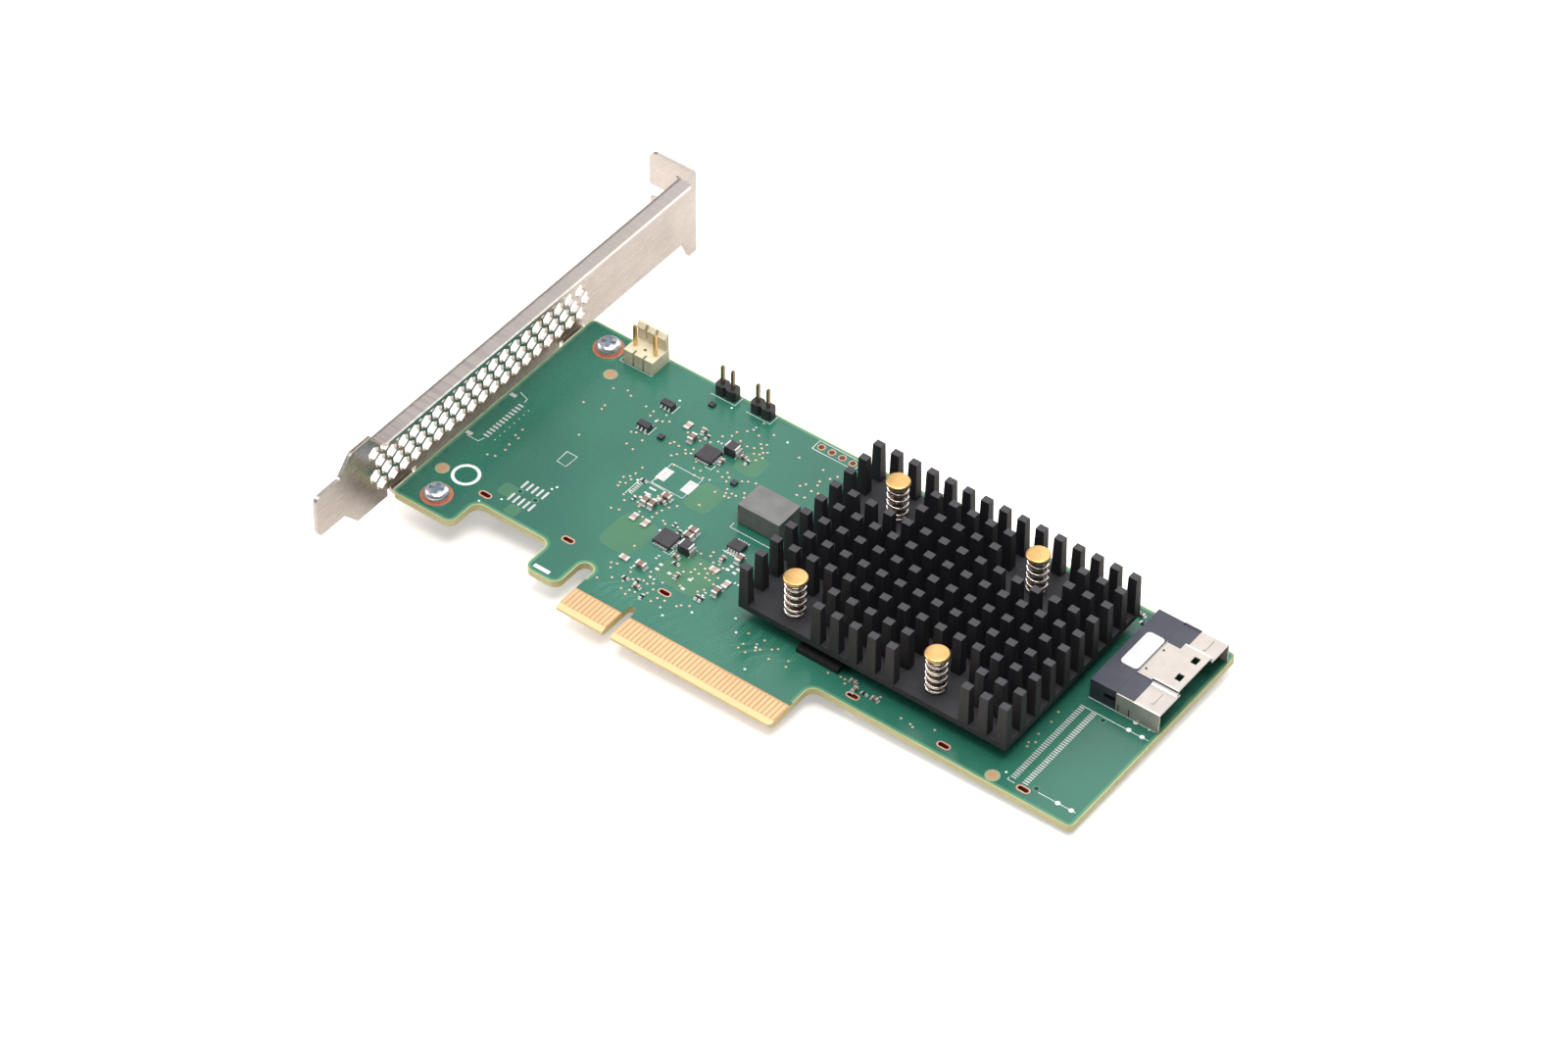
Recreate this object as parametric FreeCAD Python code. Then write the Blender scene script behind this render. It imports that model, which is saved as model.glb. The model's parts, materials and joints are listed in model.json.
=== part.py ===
import FreeCAD, Part
import math
import os

from FreeCAD import Vector as V

# Low-profile PCI Express x8 drive controller card on a full-height bracket, in millimetres.
# Frame: x = 0 at the centre of the key notch, +X from the bracket towards the drive connector;
# y = 0 at the insertion edge, +Y away from the slot; z = 0 on the component side, +Z out of it.

# ---- circuit board ----
BOARD_T = 1.57                        # laminate thickness
BOARD_LEFT, BOARD_LENGTH = -57.3, 155.65
BOARD_RIGHT = BOARD_LEFT + BOARD_LENGTH
BOARD_TOP = 68.1
SHOULDER_Y = 12.7                     # lower edge of the board beside the tongue
FOOT_RIGHT, FOOT_Y = -42.3, 5.0       # foot that carries the lower bracket screw
HOOK_LEFT, HOOK_RIGHT, HOOK_Y = -23.8, -15.6, 4.4
TONGUE_LEFT, TONGUE_RIGHT = -12.15, 39.15
BEVEL_Y, BEVEL_Z = 1.2, 0.44          # 20 degree lead-in of the insertion edge
KEY_W, KEY_TOP = 1.9, 8.6
CORNER_R = 1.2
INNER_R = 2.0

# ---- edge contacts ----
CONTACT_W, CONTACT_PITCH, CONTACT_T = 0.7, 1.0, 0.05
CONTACT_Y0, CONTACT_Y1 = 1.25, 5.7
CONTACTS_SHORT, CONTACTS_LONG = 11, 38   # before and after the key
FIRST_CONTACT = 1.5                   # nearest contact centre either side of the key

# ---- plated slots of the board ----
SLOT_Y, SLOT_L, SLOT_W, SLOT_CLIP = 15.3, 2.4, 1.0, 0.3
SLOT_X = (-42.1, -21.4, 2.2, 46.95, BOARD_RIGHT - 30.45, BOARD_RIGHT - 12.4)

# ---- mounting bracket, one folded sheet ----
SHEET = 0.86
BRACKET_IN = -58.7                    # face of the blade that looks at the board
BRACKET_OUT = BRACKET_IN - SHEET
BLADE_W, BLADE_LOW = 18.42, -BOARD_T - SHEET
BLADE_HIGH = BLADE_LOW + BLADE_W
BRACKET_END, BRACKET_LEN = -15.0, 120.02
BRACKET_TOP = BRACKET_END + BRACKET_LEN
TONGUE_Z0, TONGUE_W = 1.8, 10.19      # lower end that drops into the chassis slot
WIDEN_LOW, WIDEN_HIGH = (7.7, 11.4), (7.0, 10.7)   # where each edge leaves the tongue and meets the blade
STEP_OUT = (5.42, 3.42)               # low edge steps out to the screw tab, below its face
FLANGE_W = 4.45                       # stiffening flange, from the blade's outer face
FLANGE_Y0, FLANGE_Y1 = 1.8, 98.6
TAB_REACH, TAB_LOW, TAB_HIGH = 11.43, -7.2, 13.2   # from the outer face
NOTCH_Z, NOTCH_W, NOTCH_DEPTH = 2.75, 3.6, 6.2
HEX_FLATS, HEX_PITCH, HEX_ROW = 2.8, 3.447, 3.0
HEX_Z0, HEX_Y0, HEX_ROWS, HEX_COLS = 2.3, 2.15, 4, 20
BEND_R = 0.5                          # inner radius of every fold
BOARD_TAB_W, BOARD_TAB_REACH, BOARD_TAB_CLIP = 6.4, 13.0, 1.5
RELIEF_W, RELIEF_TOP = 1.1, -0.7

# ---- bracket screws ----
SCREWS = ((-49.7, 9.6), (-49.4, 63.2))
SCREW_R, SCREW_CLEAR, SCREW_TIP = 1.5, 0.12, -4.2
HEAD_R, HEAD_H, RECESS_DEPTH = 2.6, 1.7, 1.2

# ---- heatsink ----
SINK_BASE_Z, SINK_BASE_T, SINK_TOP = 3.0, 1.4, 13.5
SINK_TO_DRIVE = 2.8                   # least room between the heatsink and the drive connector
FIN_X0, FIN_PITCH_X, FIN_ROWS = 18.5, 4.264, 10
FIN_Y0, FIN_PITCH_Y = 19.7, 4.715
FIN_ROOT_X, FIN_ROOT_Y, FIN_DRAFT = 2.3, 2.0, 0.2
BARE_COLS, BARE_ROWS = ((1, 3), (9, 11)), ((0, 1), (7, 8))   # no fins there, for the push pins
SINK_HOLE_R = 1.6

# ---- spring-loaded push pins ----
PIN_X, PIN_Y, PIN_SPAN = 27.5, 23.2, 32.8
PIN_HEAD_R, PIN_HEAD_T, PIN_HEAD_TOP = 2.45, 0.8, 13.6
PIN_R, BOARD_PIN_HOLE_R = 1.2, 1.4
BARB_W, BARB_TIP_W, BARB_L = 3.3, 1.3, 2.5
SPRING_R, SPRING_WIRE, SPRING_TURNS, SPRING_STEPS = 1.95, 0.6, 5, 6

# ---- controller chip under the heatsink ----
CHIP_SIDE, CHIP_H = 27.0, 1.3
LID_SIDE, LID_H = 23.0, 1.2           # the pad on the lid fills what is left up to the heatsink

# ---- memory chip at the heatsink's front edge ----
MEMORY = (31.5, 41.4, 18.0, 26.0, 1.1)

# ---- power inductor ----
COIL = (1.65, 11.75, 39.0, 46.1)
COIL_H, COIL_FOOT = 5.0, 0.3

# ---- right-angle drive connector ----
DRIVE_INSET = 0.45                    # from the board's end back to the mouth of the shell
DRIVE_LENGTH, SHELL_LENGTH, CHEEK_LENGTH = 15.7, 9.7, 5.9
DRIVE_X1 = BOARD_RIGHT - DRIVE_INSET
DRIVE_X0, SHELL_X0, DRIVE_BLOCK_X1 = DRIVE_X1 - DRIVE_LENGTH, DRIVE_X1 - SHELL_LENGTH, DRIVE_X1 - CHEEK_LENGTH
DRIVE_Y0, DRIVE_Y1, DRIVE_H = 42.3, 65.3, 4.7
SHELL_T = 0.3
BRIDGE_LENGTH, BRIDGE_Y0, BRIDGE_Y1, BRIDGE_Z = 6.2, 48.7, 60.0, 5.6
BRIDGE_X0 = DRIVE_X1 - BRIDGE_LENGTH
WINDOW_IN, WINDOW_Y, WINDOW_L, WINDOW_W = 2.25, (51.9, 57.3), 1.4, 1.8   # centres, from the mouth
STRIP_Y0, STRIP_Y1, STRIP_T = 48.9, 58.8, 0.15
RIB_IN, RIB_W, RIB_L, RIB_Y = 2.9, 0.5, 3.2, (45.5, 62.9)
POST_IN, POST_W = (4.95, 1.9), 0.8
DRIVE_CONTACTS, DRIVE_PITCH, DRIVE_PAD_W = 37, 0.6, 0.3
PADDLE_GAP = 1.2
LABEL_IN, LABEL_L, LABEL_Y0, LABEL_Y1, LABEL_T = 1.7, 4.0, 49.3, 59.2, 0.1

# ---- straight two-pin headers, and the three-way friction-lock header ----
HEADER_PITCH, HEADER_PIN, HEADER_H = 2.54, 0.64, 2.5
HEADER_PIN_TOP, TAIL = 7.3, 1.3
TWO_PIN = ((-23.2, 66.8), (-14.4, 66.8))
LOCK_X, LOCK_Y = -43.45, 64.35
LOCK_BLOCK_H, LOCK_WALL_TOP, LOCK_PIN_TOP = 3.3, 7.5, 8.8
LOCK_FRONT, LOCK_BACK, LOCK_WALL_T = 62.0, 67.4, 0.9

# ---- small parts: x, y and quarter turns (0 lies along X, 1 along Y) ----
QFN = ((-14.2, 50.4), (-6.2, 26.8))
QFN_SIDE, QFN_H = 4.0, 0.9
SIX_LEAD = ((-29.3, 56.9), (-29.3, 49.3))
DRIVER = (5.9, 33.4)
DIODES = ((-11.0, 54.1, 0), (-1.35, 26.8, 0))
CAPS_LARGE = ((-19.6, 52.2, 1), (-13.3, 35.9, 0), (-16.0, 32.6, 1), (-14.3, 32.6, 1), (-3.4, 31.6, 0),
              (-3.3, 29.9, 0), (-5.7, 18.1, 0), (8.4, 30.9, 1), (10.2, 21.2, 1))
CAPS_SMALL = ((-19.0, 55.2, 1), (-8.2, 54.1, 0), (-13.3, 34.5, 0), (-1.9, 24.2, 0), (-2.9, 13.2, 0),
              (1.4, 20.1, 1), (5.6, 29.1, 1), (-11.1, 50.4, 1), (45.0, 18.1, 0), (46.4, 16.5, 1),
              (50.9, 16.9, 0), (78.2, 65.7, 0))
RESISTORS = ((-6.1, 13.8, 0), (-5.6, 29.8, 1), (-19.9, 37.1, 0), (-0.6, 11.7, 1), (-7.0, 53.4, 1),
             (-17.6, 54.4, 1), (-0.8, 22.7, 0), (7.9, 18.0, 1), (8.9, 18.0, 1), (48.4, 16.9, 0),
             (79.7, 64.2, 0), (-3.8, 14.4, 1))
LOGIC = ((-24.8, 48.8), (-22.5, 62.4), (-5.4, 47.2))


def box(x0, x1, y0, y1, z0, z1):
    """Box between two opposite corners."""
    return Part.makeBox(x1 - x0, y1 - y0, z1 - z0, V(x0, y0, z0))


def cyl(x, y, r, z0, z1):
    """Upright cylinder."""
    return Part.makeCylinder(r, z1 - z0, V(x, y, z0))


def rounded_wire(points):
    """Closed wire in the XY plane through (x, y, radius) corners, each corner rounded by its radius."""
    spans = []
    n = len(points)
    for i, (x, y, r) in enumerate(points):
        p = V(x, y, 0)
        before = (V(*points[i - 1][:2], 0) - p).normalize()
        after = (V(*points[(i + 1) % n][:2], 0) - p).normalize()
        if r:
            half = before.getAngle(after) / 2
            reach = r / math.tan(half)
            centre = p + (before + after).normalize() * (r / math.sin(half))
            spans.append((p + before * reach, centre + (p - centre).normalize() * r, p + after * reach))
        else:
            spans.append((p, None, p))
    edges = []
    for i, (start, middle, end) in enumerate(spans):
        if middle:
            edges.append(Part.Arc(start, middle, end).toShape())
        following = spans[(i + 1) % n][0]
        if end.distanceToPoint(following) > 1e-6:
            edges.append(Part.LineSegment(end, following).toShape())
    return Part.Wire(edges)


def plate(points, z0, z1):
    """Flat plate with a rounded outline, from z0 up to z1."""
    solid = Part.Face(rounded_wire(points)).extrude(V(0, 0, z1 - z0))
    solid.translate(V(0, 0, z0))
    return solid


def clipped(x, y, length, width, clip):
    """Corners of a rectangle about (x, y), each cut off at 45 degrees by clip."""
    a, b = length / 2, width / 2
    return [(x + sx * (a - (clip if first else 0)), y + sy * (b - (0 if first else clip)), 0)
            for sx, sy, order in ((-1, -1, (0, 1)), (1, -1, (1, 0)), (1, 1, (0, 1)), (-1, 1, (1, 0)))
            for first in order]


def slab_x(points, x0, x1):
    """Upright plate between x0 and x1, its (y, z, radius) outline rounded."""
    solid = Part.Face(rounded_wire(points)).extrude(V(0, 0, x1 - x0))
    turn = FreeCAD.Matrix(0, 0, 1, x0, 1, 0, 0, 0, 0, 1, 0, 0, 0, 0, 0, 1)
    solid.transformShape(turn)
    return solid


def slab_y(points, y0, y1):
    """Plate between y0 and y1, its (z, x, radius) outline rounded."""
    solid = Part.Face(rounded_wire(points)).extrude(V(0, 0, y1 - y0))
    turn = FreeCAD.Matrix(0, 1, 0, 0, 0, 0, 1, y0, 1, 0, 0, 0, 0, 0, 0, 1)
    solid.transformShape(turn)
    return solid


def skin(rings):
    """Solid through rings of as many points each; a side that isn't flat becomes two triangles."""
    outlines = [rings[0], rings[-1]]
    for lower, upper in zip(rings, rings[1:]):
        for i in range(len(lower)):
            a, b, c, d = lower[i - 1], lower[i], upper[i], upper[i - 1]
            flat = abs((b - a).cross(d - a).normalize().dot(c - a)) < 1e-6
            outlines += [[a, b, c, d]] if flat else [[a, b, c], [a, c, d]]
    solid = Part.Solid(Part.Shell([Part.Face(Part.makePolygon(o + o[:1])) for o in outlines]))
    return solid if solid.Volume > 0 else solid.reversed()


def frustum(x, y, z0, z1, wx, wy, draft):
    """Rectangular post that narrows by draft on each side towards its top."""
    return skin([[V(x + sx * (wx / 2 - d), y + sy * (wy / 2 - d), z)
                  for sx, sy in ((-1, -1), (1, -1), (1, 1), (-1, 1))]
                 for z, d in ((z0, 0), (z1, draft))])


def lathe(profile, x, y):
    """Solid of revolution about the upright line through (x, y), from a closed (radius, z) profile."""
    wire = Part.makePolygon([V(r, 0, z) for r, z in profile + profile[:1]])
    solid = Part.Face(wire).revolve(V(0, 0, 0), V(0, 0, 1), 360)
    solid.translate(V(x, y, 0))
    return solid


def place(solid, x, y, quarter):
    """Turn a solid made at the origin by quarter turns and set it down at (x, y)."""
    solid = solid.copy()
    solid.rotate(V(0, 0, 0), V(0, 0, 1), 90 * quarter)
    solid.translate(V(x, y, 0))
    return solid


def fuse(solids):
    """One clean solid from overlapping or touching ones."""
    return solids[0].multiFuse(solids[1:]).removeSplitter()


def cut(solid, tools):
    """A solid less every tool, in one operation."""
    return solid.cut(Part.Compound(tools)).removeSplitter()


def export(name, shape):
    """Write one node; several solids stay separate in a compound."""
    solids = shape if isinstance(shape, list) else [shape]
    flat = [s for item in solids for s in (item.Solids if item.Solids else [item])]
    out = flat[0] if len(flat) == 1 else Part.Compound(flat)
    for s in flat:
        assert s.isValid() and s.Volume > 0, name
    out.exportStep("parts/%s.step" % name)
    print("%-28s solids %3d  faces %5d" % (name, len(flat), len(out.Faces)))


def pin_places():
    """The four push pins, at the corners of a square."""
    return [(PIN_X + i * PIN_SPAN, PIN_Y + j * PIN_SPAN) for i in (0, 1) for j in (0, 1)]


def contact_places():
    """Centres of the edge contacts either side of the key notch."""
    before = [-FIRST_CONTACT - i * CONTACT_PITCH for i in range(CONTACTS_SHORT)]
    after = [FIRST_CONTACT + i * CONTACT_PITCH for i in range(CONTACTS_LONG)]
    return before + after


def lock_pin_x(place_no):
    """Position of one way of the friction-lock header."""
    return LOCK_X + place_no * HEADER_PITCH


def circuit_board():
    """Routed laminate: foot, recess, hook, round relief, keyed tongue, slots and holes."""
    relief_r = (TONGUE_LEFT - HOOK_RIGHT) / 2 - 0.01
    outline = [
        (BOARD_LEFT, BOARD_TOP, CORNER_R), (BOARD_LEFT, FOOT_Y, CORNER_R),
        (FOOT_RIGHT, FOOT_Y, INNER_R), (FOOT_RIGHT, SHOULDER_Y, INNER_R),
        (HOOK_LEFT, SHOULDER_Y, INNER_R), (HOOK_LEFT, HOOK_Y, INNER_R),
        (HOOK_RIGHT, HOOK_Y, INNER_R), (HOOK_RIGHT, SHOULDER_Y, relief_r),
        (TONGUE_LEFT, SHOULDER_Y, relief_r), (TONGUE_LEFT, 0, 0),
        (-KEY_W / 2, 0, 0), (-KEY_W / 2, KEY_TOP, KEY_W / 2 - 0.01),
        (KEY_W / 2, KEY_TOP, KEY_W / 2 - 0.01), (KEY_W / 2, 0, 0),
        (TONGUE_RIGHT, 0, 0.8), (TONGUE_RIGHT, SHOULDER_Y, INNER_R),
        (BOARD_RIGHT, SHOULDER_Y, CORNER_R), (BOARD_RIGHT, BOARD_TOP, CORNER_R)]
    board = plate(outline, -BOARD_T, 0)
    tools = []
    x0, x1 = TONGUE_LEFT - 1, TONGUE_RIGHT + 1
    for z_face, z_nose in ((0, -BEVEL_Z), (-BOARD_T, -BOARD_T + BEVEL_Z)):
        far = 2 * z_face - z_nose
        corner = [V(x0, -BEVEL_Y, far), V(x0, BEVEL_Y, z_face), V(x0, 0, z_nose), V(x0, -BEVEL_Y, z_nose)]
        tools.append(Part.Face(Part.makePolygon(corner + corner[:1])).extrude(V(x1 - x0, 0, 0)))
    for x in SLOT_X:
        tools.append(plate(clipped(x, SLOT_Y, SLOT_L, SLOT_W, SLOT_CLIP), -BOARD_T - 1, 1))
    for x, y in SCREWS:
        tools.append(cyl(x, y, SCREW_R + SCREW_CLEAR, -BOARD_T - 1, 1))
    for x, y in pin_places():
        tools.append(cyl(x, y, BOARD_PIN_HOLE_R, -BOARD_T - 1, 1))
    square = HEADER_PIN / 2
    for x, y in pin_tail_places():
        tools.append(box(x - square, x + square, y - square, y + square, -BOARD_T - 1, 1))
    for x, y in shell_post_places():
        half = POST_W / 2
        tools.append(box(x - half, x + half, y - SHELL_T / 2, y + SHELL_T / 2, -BOARD_T - 1, 1))
    return cut(board, tools)


def pin_tail_places():
    """Every header pin that goes through the board."""
    two = [(x + i * HEADER_PITCH, y) for x, y in TWO_PIN for i in (0, 1)]
    return two + [(lock_pin_x(i), LOCK_Y) for i in (0, 2)]


def shell_post_places():
    """Posts of the drive connector's shell, two in each side wall."""
    return [(DRIVE_X1 - inset, y) for inset in POST_IN
            for y in (DRIVE_Y0 - SHELL_T / 2, DRIVE_Y1 + SHELL_T / 2)]


def edge_contacts(z0, z1):
    """One row of gold contacts on one face of the tongue."""
    return [box(x - CONTACT_W / 2, x + CONTACT_W / 2, CONTACT_Y0, CONTACT_Y1, z0, z1)
            for x in contact_places()]


def hexagon(y, z):
    """Six-sided vent hole through the blade, points up and down."""
    r = HEX_FLATS / math.sqrt(3)
    ring = [V(BRACKET_OUT - 1, y + r * math.sin(k * math.pi / 3), z + r * math.cos(k * math.pi / 3))
            for k in range(7)]
    return Part.Face(Part.makePolygon(ring)).extrude(V(SHEET + 2, 0, 0))


def fold_profile(x_out, z_out, reach, up):
    """L-shaped (z, x, radius) section of a fold between the blade and a leaf that runs along +X."""
    s = -1 if up else 1
    leaf_in = z_out + s * SHEET
    foot = z_out + s * 6
    return [(z_out, x_out, BEND_R + SHEET), (z_out, x_out + reach, 0), (leaf_in, x_out + reach, 0),
            (leaf_in, x_out + SHEET, BEND_R), (foot, x_out + SHEET, 0), (foot, x_out, 0)]


def mounting_bracket():
    """Folded sheet: tongue, vented blade, stiffening flange, two board tabs and the screw tab."""
    z_top_tab = TAB_HIGH
    blade = slab_x([
        (BRACKET_END, TONGUE_Z0, 1.6), (BRACKET_END, TONGUE_Z0 + TONGUE_W, 1.6),
        (BRACKET_END + WIDEN_HIGH[0], TONGUE_Z0 + TONGUE_W, 1.0),
        (BRACKET_END + WIDEN_HIGH[1], BLADE_HIGH, 1.2),
        (FLANGE_Y1 + 0.4, BLADE_HIGH, 0), (FLANGE_Y1 + 1.6, z_top_tab, 0),
        (BRACKET_TOP, z_top_tab, 0), (BRACKET_TOP, TAB_LOW, 0), (BRACKET_TOP - STEP_OUT[1], TAB_LOW, 0),
        (BRACKET_TOP - STEP_OUT[0], BLADE_LOW, 0), (BRACKET_END + WIDEN_LOW[1], BLADE_LOW, 0),
        (BRACKET_END + WIDEN_LOW[0], TONGUE_Z0, 0)],
        BRACKET_OUT, BRACKET_IN)
    # the blade gives way to the rounded outside of each fold
    fold = BEND_R + SHEET
    gaps = [box(BRACKET_OUT - 1, BRACKET_IN + 1, FLANGE_Y0, FLANGE_Y1, BLADE_HIGH - 3, BLADE_HIGH + 1),
            box(BRACKET_OUT - 1, BRACKET_IN + 1, BRACKET_TOP - 3, BRACKET_TOP + 1, TAB_LOW - 1, z_top_tab + 1)]
    for x, y in SCREWS:
        half = BOARD_TAB_W / 2
        gaps.append(box(BRACKET_OUT - 1, BRACKET_IN + 1, y - half - RELIEF_W, y + half + RELIEF_W,
                        BLADE_LOW - 1, RELIEF_TOP))
    blade = cut(blade, gaps)
    # stiffening flange along the blade's high edge, its free corners rounded
    flange = slab_y([(z, x, r) for z, x, r in fold_profile(BRACKET_OUT, BLADE_HIGH, FLANGE_W, True)
                     if z > BLADE_HIGH - 4] + [(BLADE_HIGH - 3, BRACKET_IN, 0), (BLADE_HIGH - 3, BRACKET_OUT, 0)],
                    FLANGE_Y0, FLANGE_Y1)
    corners = plate([(BRACKET_OUT - 1, FLANGE_Y0, 0), (BRACKET_OUT + FLANGE_W, FLANGE_Y0, 1.4),
                     (BRACKET_OUT + FLANGE_W, FLANGE_Y1, 1.4), (BRACKET_OUT - 1, FLANGE_Y1, 0)],
                    BLADE_HIGH - 4, BLADE_HIGH + 1)
    flange = flange.common(corners)
    # tabs folded under the board, tapped for the screws
    tabs = []
    for x, y in SCREWS:
        reach = BOARD_TAB_REACH + SHEET
        tab = slab_y([(BLADE_LOW, BRACKET_OUT, fold), (BLADE_LOW, BRACKET_OUT + reach, 0),
                      (BLADE_LOW + SHEET, BRACKET_OUT + reach, 0), (BLADE_LOW + SHEET, BRACKET_IN, BEND_R),
                      (RELIEF_TOP, BRACKET_IN, 0), (RELIEF_TOP, BRACKET_OUT, 0)],
                     y - BOARD_TAB_W / 2, y + BOARD_TAB_W / 2)
        tip = plate(clipped(BRACKET_OUT, y, 2 * reach, BOARD_TAB_W, BOARD_TAB_CLIP), BLADE_LOW - 1, RELIEF_TOP + 1)
        tabs.append(tab.common(tip).cut(cyl(x, y, SCREW_R, BLADE_LOW - 1, 0)))
    # screw tab folded away from the board, with an open-ended notch
    far = BRACKET_OUT - TAB_REACH
    section = Part.Face(rounded_wire([
        (BRACKET_IN, BRACKET_TOP - 3, 0), (BRACKET_IN, BRACKET_TOP, fold), (far, BRACKET_TOP, 0),
        (far, BRACKET_TOP - SHEET, 0), (BRACKET_OUT, BRACKET_TOP - SHEET, BEND_R),
        (BRACKET_OUT, BRACKET_TOP - 3, 0)]))
    tab = section.extrude(V(0, 0, z_top_tab - TAB_LOW))
    tab.translate(V(0, 0, TAB_LOW))
    frame = slab_y([(TAB_LOW, far, 1.8), (z_top_tab, far, 1.8), (z_top_tab, BRACKET_IN + 1, 0),
                    (TAB_LOW, BRACKET_IN + 1, 0)], BRACKET_TOP - 4, BRACKET_TOP + 1)
    notch = slab_y([(NOTCH_Z - NOTCH_W / 2, far - 1, 0), (NOTCH_Z - NOTCH_W / 2, far + NOTCH_DEPTH, NOTCH_W / 2 - 0.01),
                    (NOTCH_Z + NOTCH_W / 2, far + NOTCH_DEPTH, NOTCH_W / 2 - 0.01),
                    (NOTCH_Z + NOTCH_W / 2, far - 1, 0)], BRACKET_TOP - 2, BRACKET_TOP + 1)
    tab = tab.common(frame).cut(notch)
    sheet = fuse([blade, flange, tab] + tabs)
    holes = []
    for row in range(HEX_ROWS):
        shift = HEX_PITCH / 2 if row % 2 == 0 else 0
        for col in range(HEX_COLS - (1 if shift else 0)):
            holes.append(hexagon(HEX_Y0 + shift + col * HEX_PITCH, HEX_Z0 + row * HEX_ROW))
    return sheet.cut(Part.Compound(holes))


def bracket_screw(x, y):
    """Pan head screw with a cross recess; its shank fills the tab's thread."""
    body = lathe([(0, SCREW_TIP), (SCREW_R, SCREW_TIP), (SCREW_R, 0), (HEAD_R, 0), (HEAD_R, HEAD_H),
                  (0, HEAD_H)], x, y)
    arms = []
    for quarter in (0, 1):
        arm = frustum(0, 0, HEAD_H - RECESS_DEPTH, HEAD_H + 0.1, HEAD_R, 0.55, -0.08)
        arms.append(place(arm, x, y, quarter))
    return body.cut(fuse(arms))


def heatsink():
    """Pin-fin heatsink, as long as the room up to the drive connector; no fins round each push pin."""
    room = DRIVE_X0 - SINK_TO_DRIVE - FIN_X0 - FIN_ROOT_X / 2
    cols = int(room / FIN_PITCH_X) + 1
    x0 = FIN_X0 - FIN_ROOT_X / 2
    x1 = FIN_X0 + (cols - 1) * FIN_PITCH_X + FIN_ROOT_X / 2
    y0 = FIN_Y0 - FIN_ROOT_Y / 2
    y1 = FIN_Y0 + (FIN_ROWS - 1) * FIN_PITCH_Y + FIN_ROOT_Y / 2
    z1 = SINK_BASE_Z + SINK_BASE_T
    base = box(x0, x1, y0, y1, SINK_BASE_Z, z1)
    fins = []
    for col in range(cols):
        for row in range(FIN_ROWS):
            if any(a <= col <= b for a, b in BARE_COLS) and any(a <= row <= b for a, b in BARE_ROWS):
                continue
            fins.append(frustum(FIN_X0 + col * FIN_PITCH_X, FIN_Y0 + row * FIN_PITCH_Y,
                                z1 - 0.2, SINK_TOP, FIN_ROOT_X, FIN_ROOT_Y, FIN_DRAFT))
    holes = [cyl(x, y, SINK_HOLE_R, SINK_BASE_Z - 1, z1 + 1) for x, y in pin_places()]
    return cut(base, holes).multiFuse(fins).removeSplitter()


def push_pin(x, y):
    """Headed brass pin with an arrow-shaped tip that has snapped under the board."""
    under = PIN_HEAD_TOP - PIN_HEAD_T
    shaft = lathe([(0, -BOARD_T), (PIN_R, -BOARD_T), (PIN_R, under), (PIN_HEAD_R, under),
                   (PIN_HEAD_R, PIN_HEAD_TOP), (0, PIN_HEAD_TOP)], x, y)
    barb = frustum(x, y, -BOARD_T - BARB_L, -BOARD_T, BARB_TIP_W, BARB_TIP_W, (BARB_TIP_W - BARB_W) / 2)
    return fuse([shaft, barb])


def push_pin_spring(x, y):
    """Compression spring between the heatsink's base and the pin's head, its ends ground flat."""
    z0 = SINK_BASE_Z + SINK_BASE_T
    z1 = PIN_HEAD_TOP - PIN_HEAD_T
    steps = SPRING_TURNS * SPRING_STEPS
    r = SPRING_WIRE / 2
    rings = []
    for i in range(steps + 1):
        turn, z = 2 * math.pi * i / SPRING_STEPS, z0 + (z1 - z0) * i / steps
        corners = [((SPRING_R + a) * math.cos(turn), (SPRING_R + a) * math.sin(turn), z + b)
                   for a, b in ((r, 0), (0, r), (-r, 0), (0, -r))]
        rings.append([V(*c) for c in corners])
    pipe = skin(rings)
    keep = cyl(0, 0, SPRING_R + 2, z0, z1)
    return place(pipe.common(keep), x, y, 0)


def controller_chip():
    """Package substrate, its metal lid and the pad that carries heat into the heatsink."""
    cx, cy = PIN_X + PIN_SPAN / 2, PIN_Y + PIN_SPAN / 2
    h, k = CHIP_SIDE / 2, LID_SIDE / 2
    substrate = box(cx - h, cx + h, cy - h, cy + h, 0, CHIP_H)
    lid = box(cx - k, cx + k, cy - k, cy + k, CHIP_H, CHIP_H + LID_H)
    pad = box(cx - k + 1, cx + k - 1, cy - k + 1, cy + k - 1, CHIP_H + LID_H, SINK_BASE_Z)
    return substrate, lid, pad


def memory_chip():
    """Flat package whose front edge shows from under the heatsink."""
    x0, x1, y0, y1, h = MEMORY
    return frustum((x0 + x1) / 2, (y0 + y1) / 2, 0, h, x1 - x0, y1 - y0, 0.06)


def power_inductor():
    """Moulded coil body on two wrapped terminals."""
    x0, x1, y0, y1 = COIL
    body = frustum((x0 + x1) / 2, (y0 + y1) / 2, COIL_FOOT, COIL_H, x1 - x0, y1 - y0, 0.05)
    legs = [box(x, x + 2.2, y0 + 1, y1 - 1, 0, COIL_FOOT) for x in (x0 + 0.4, x1 - 2.6)]
    return body, legs


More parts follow.
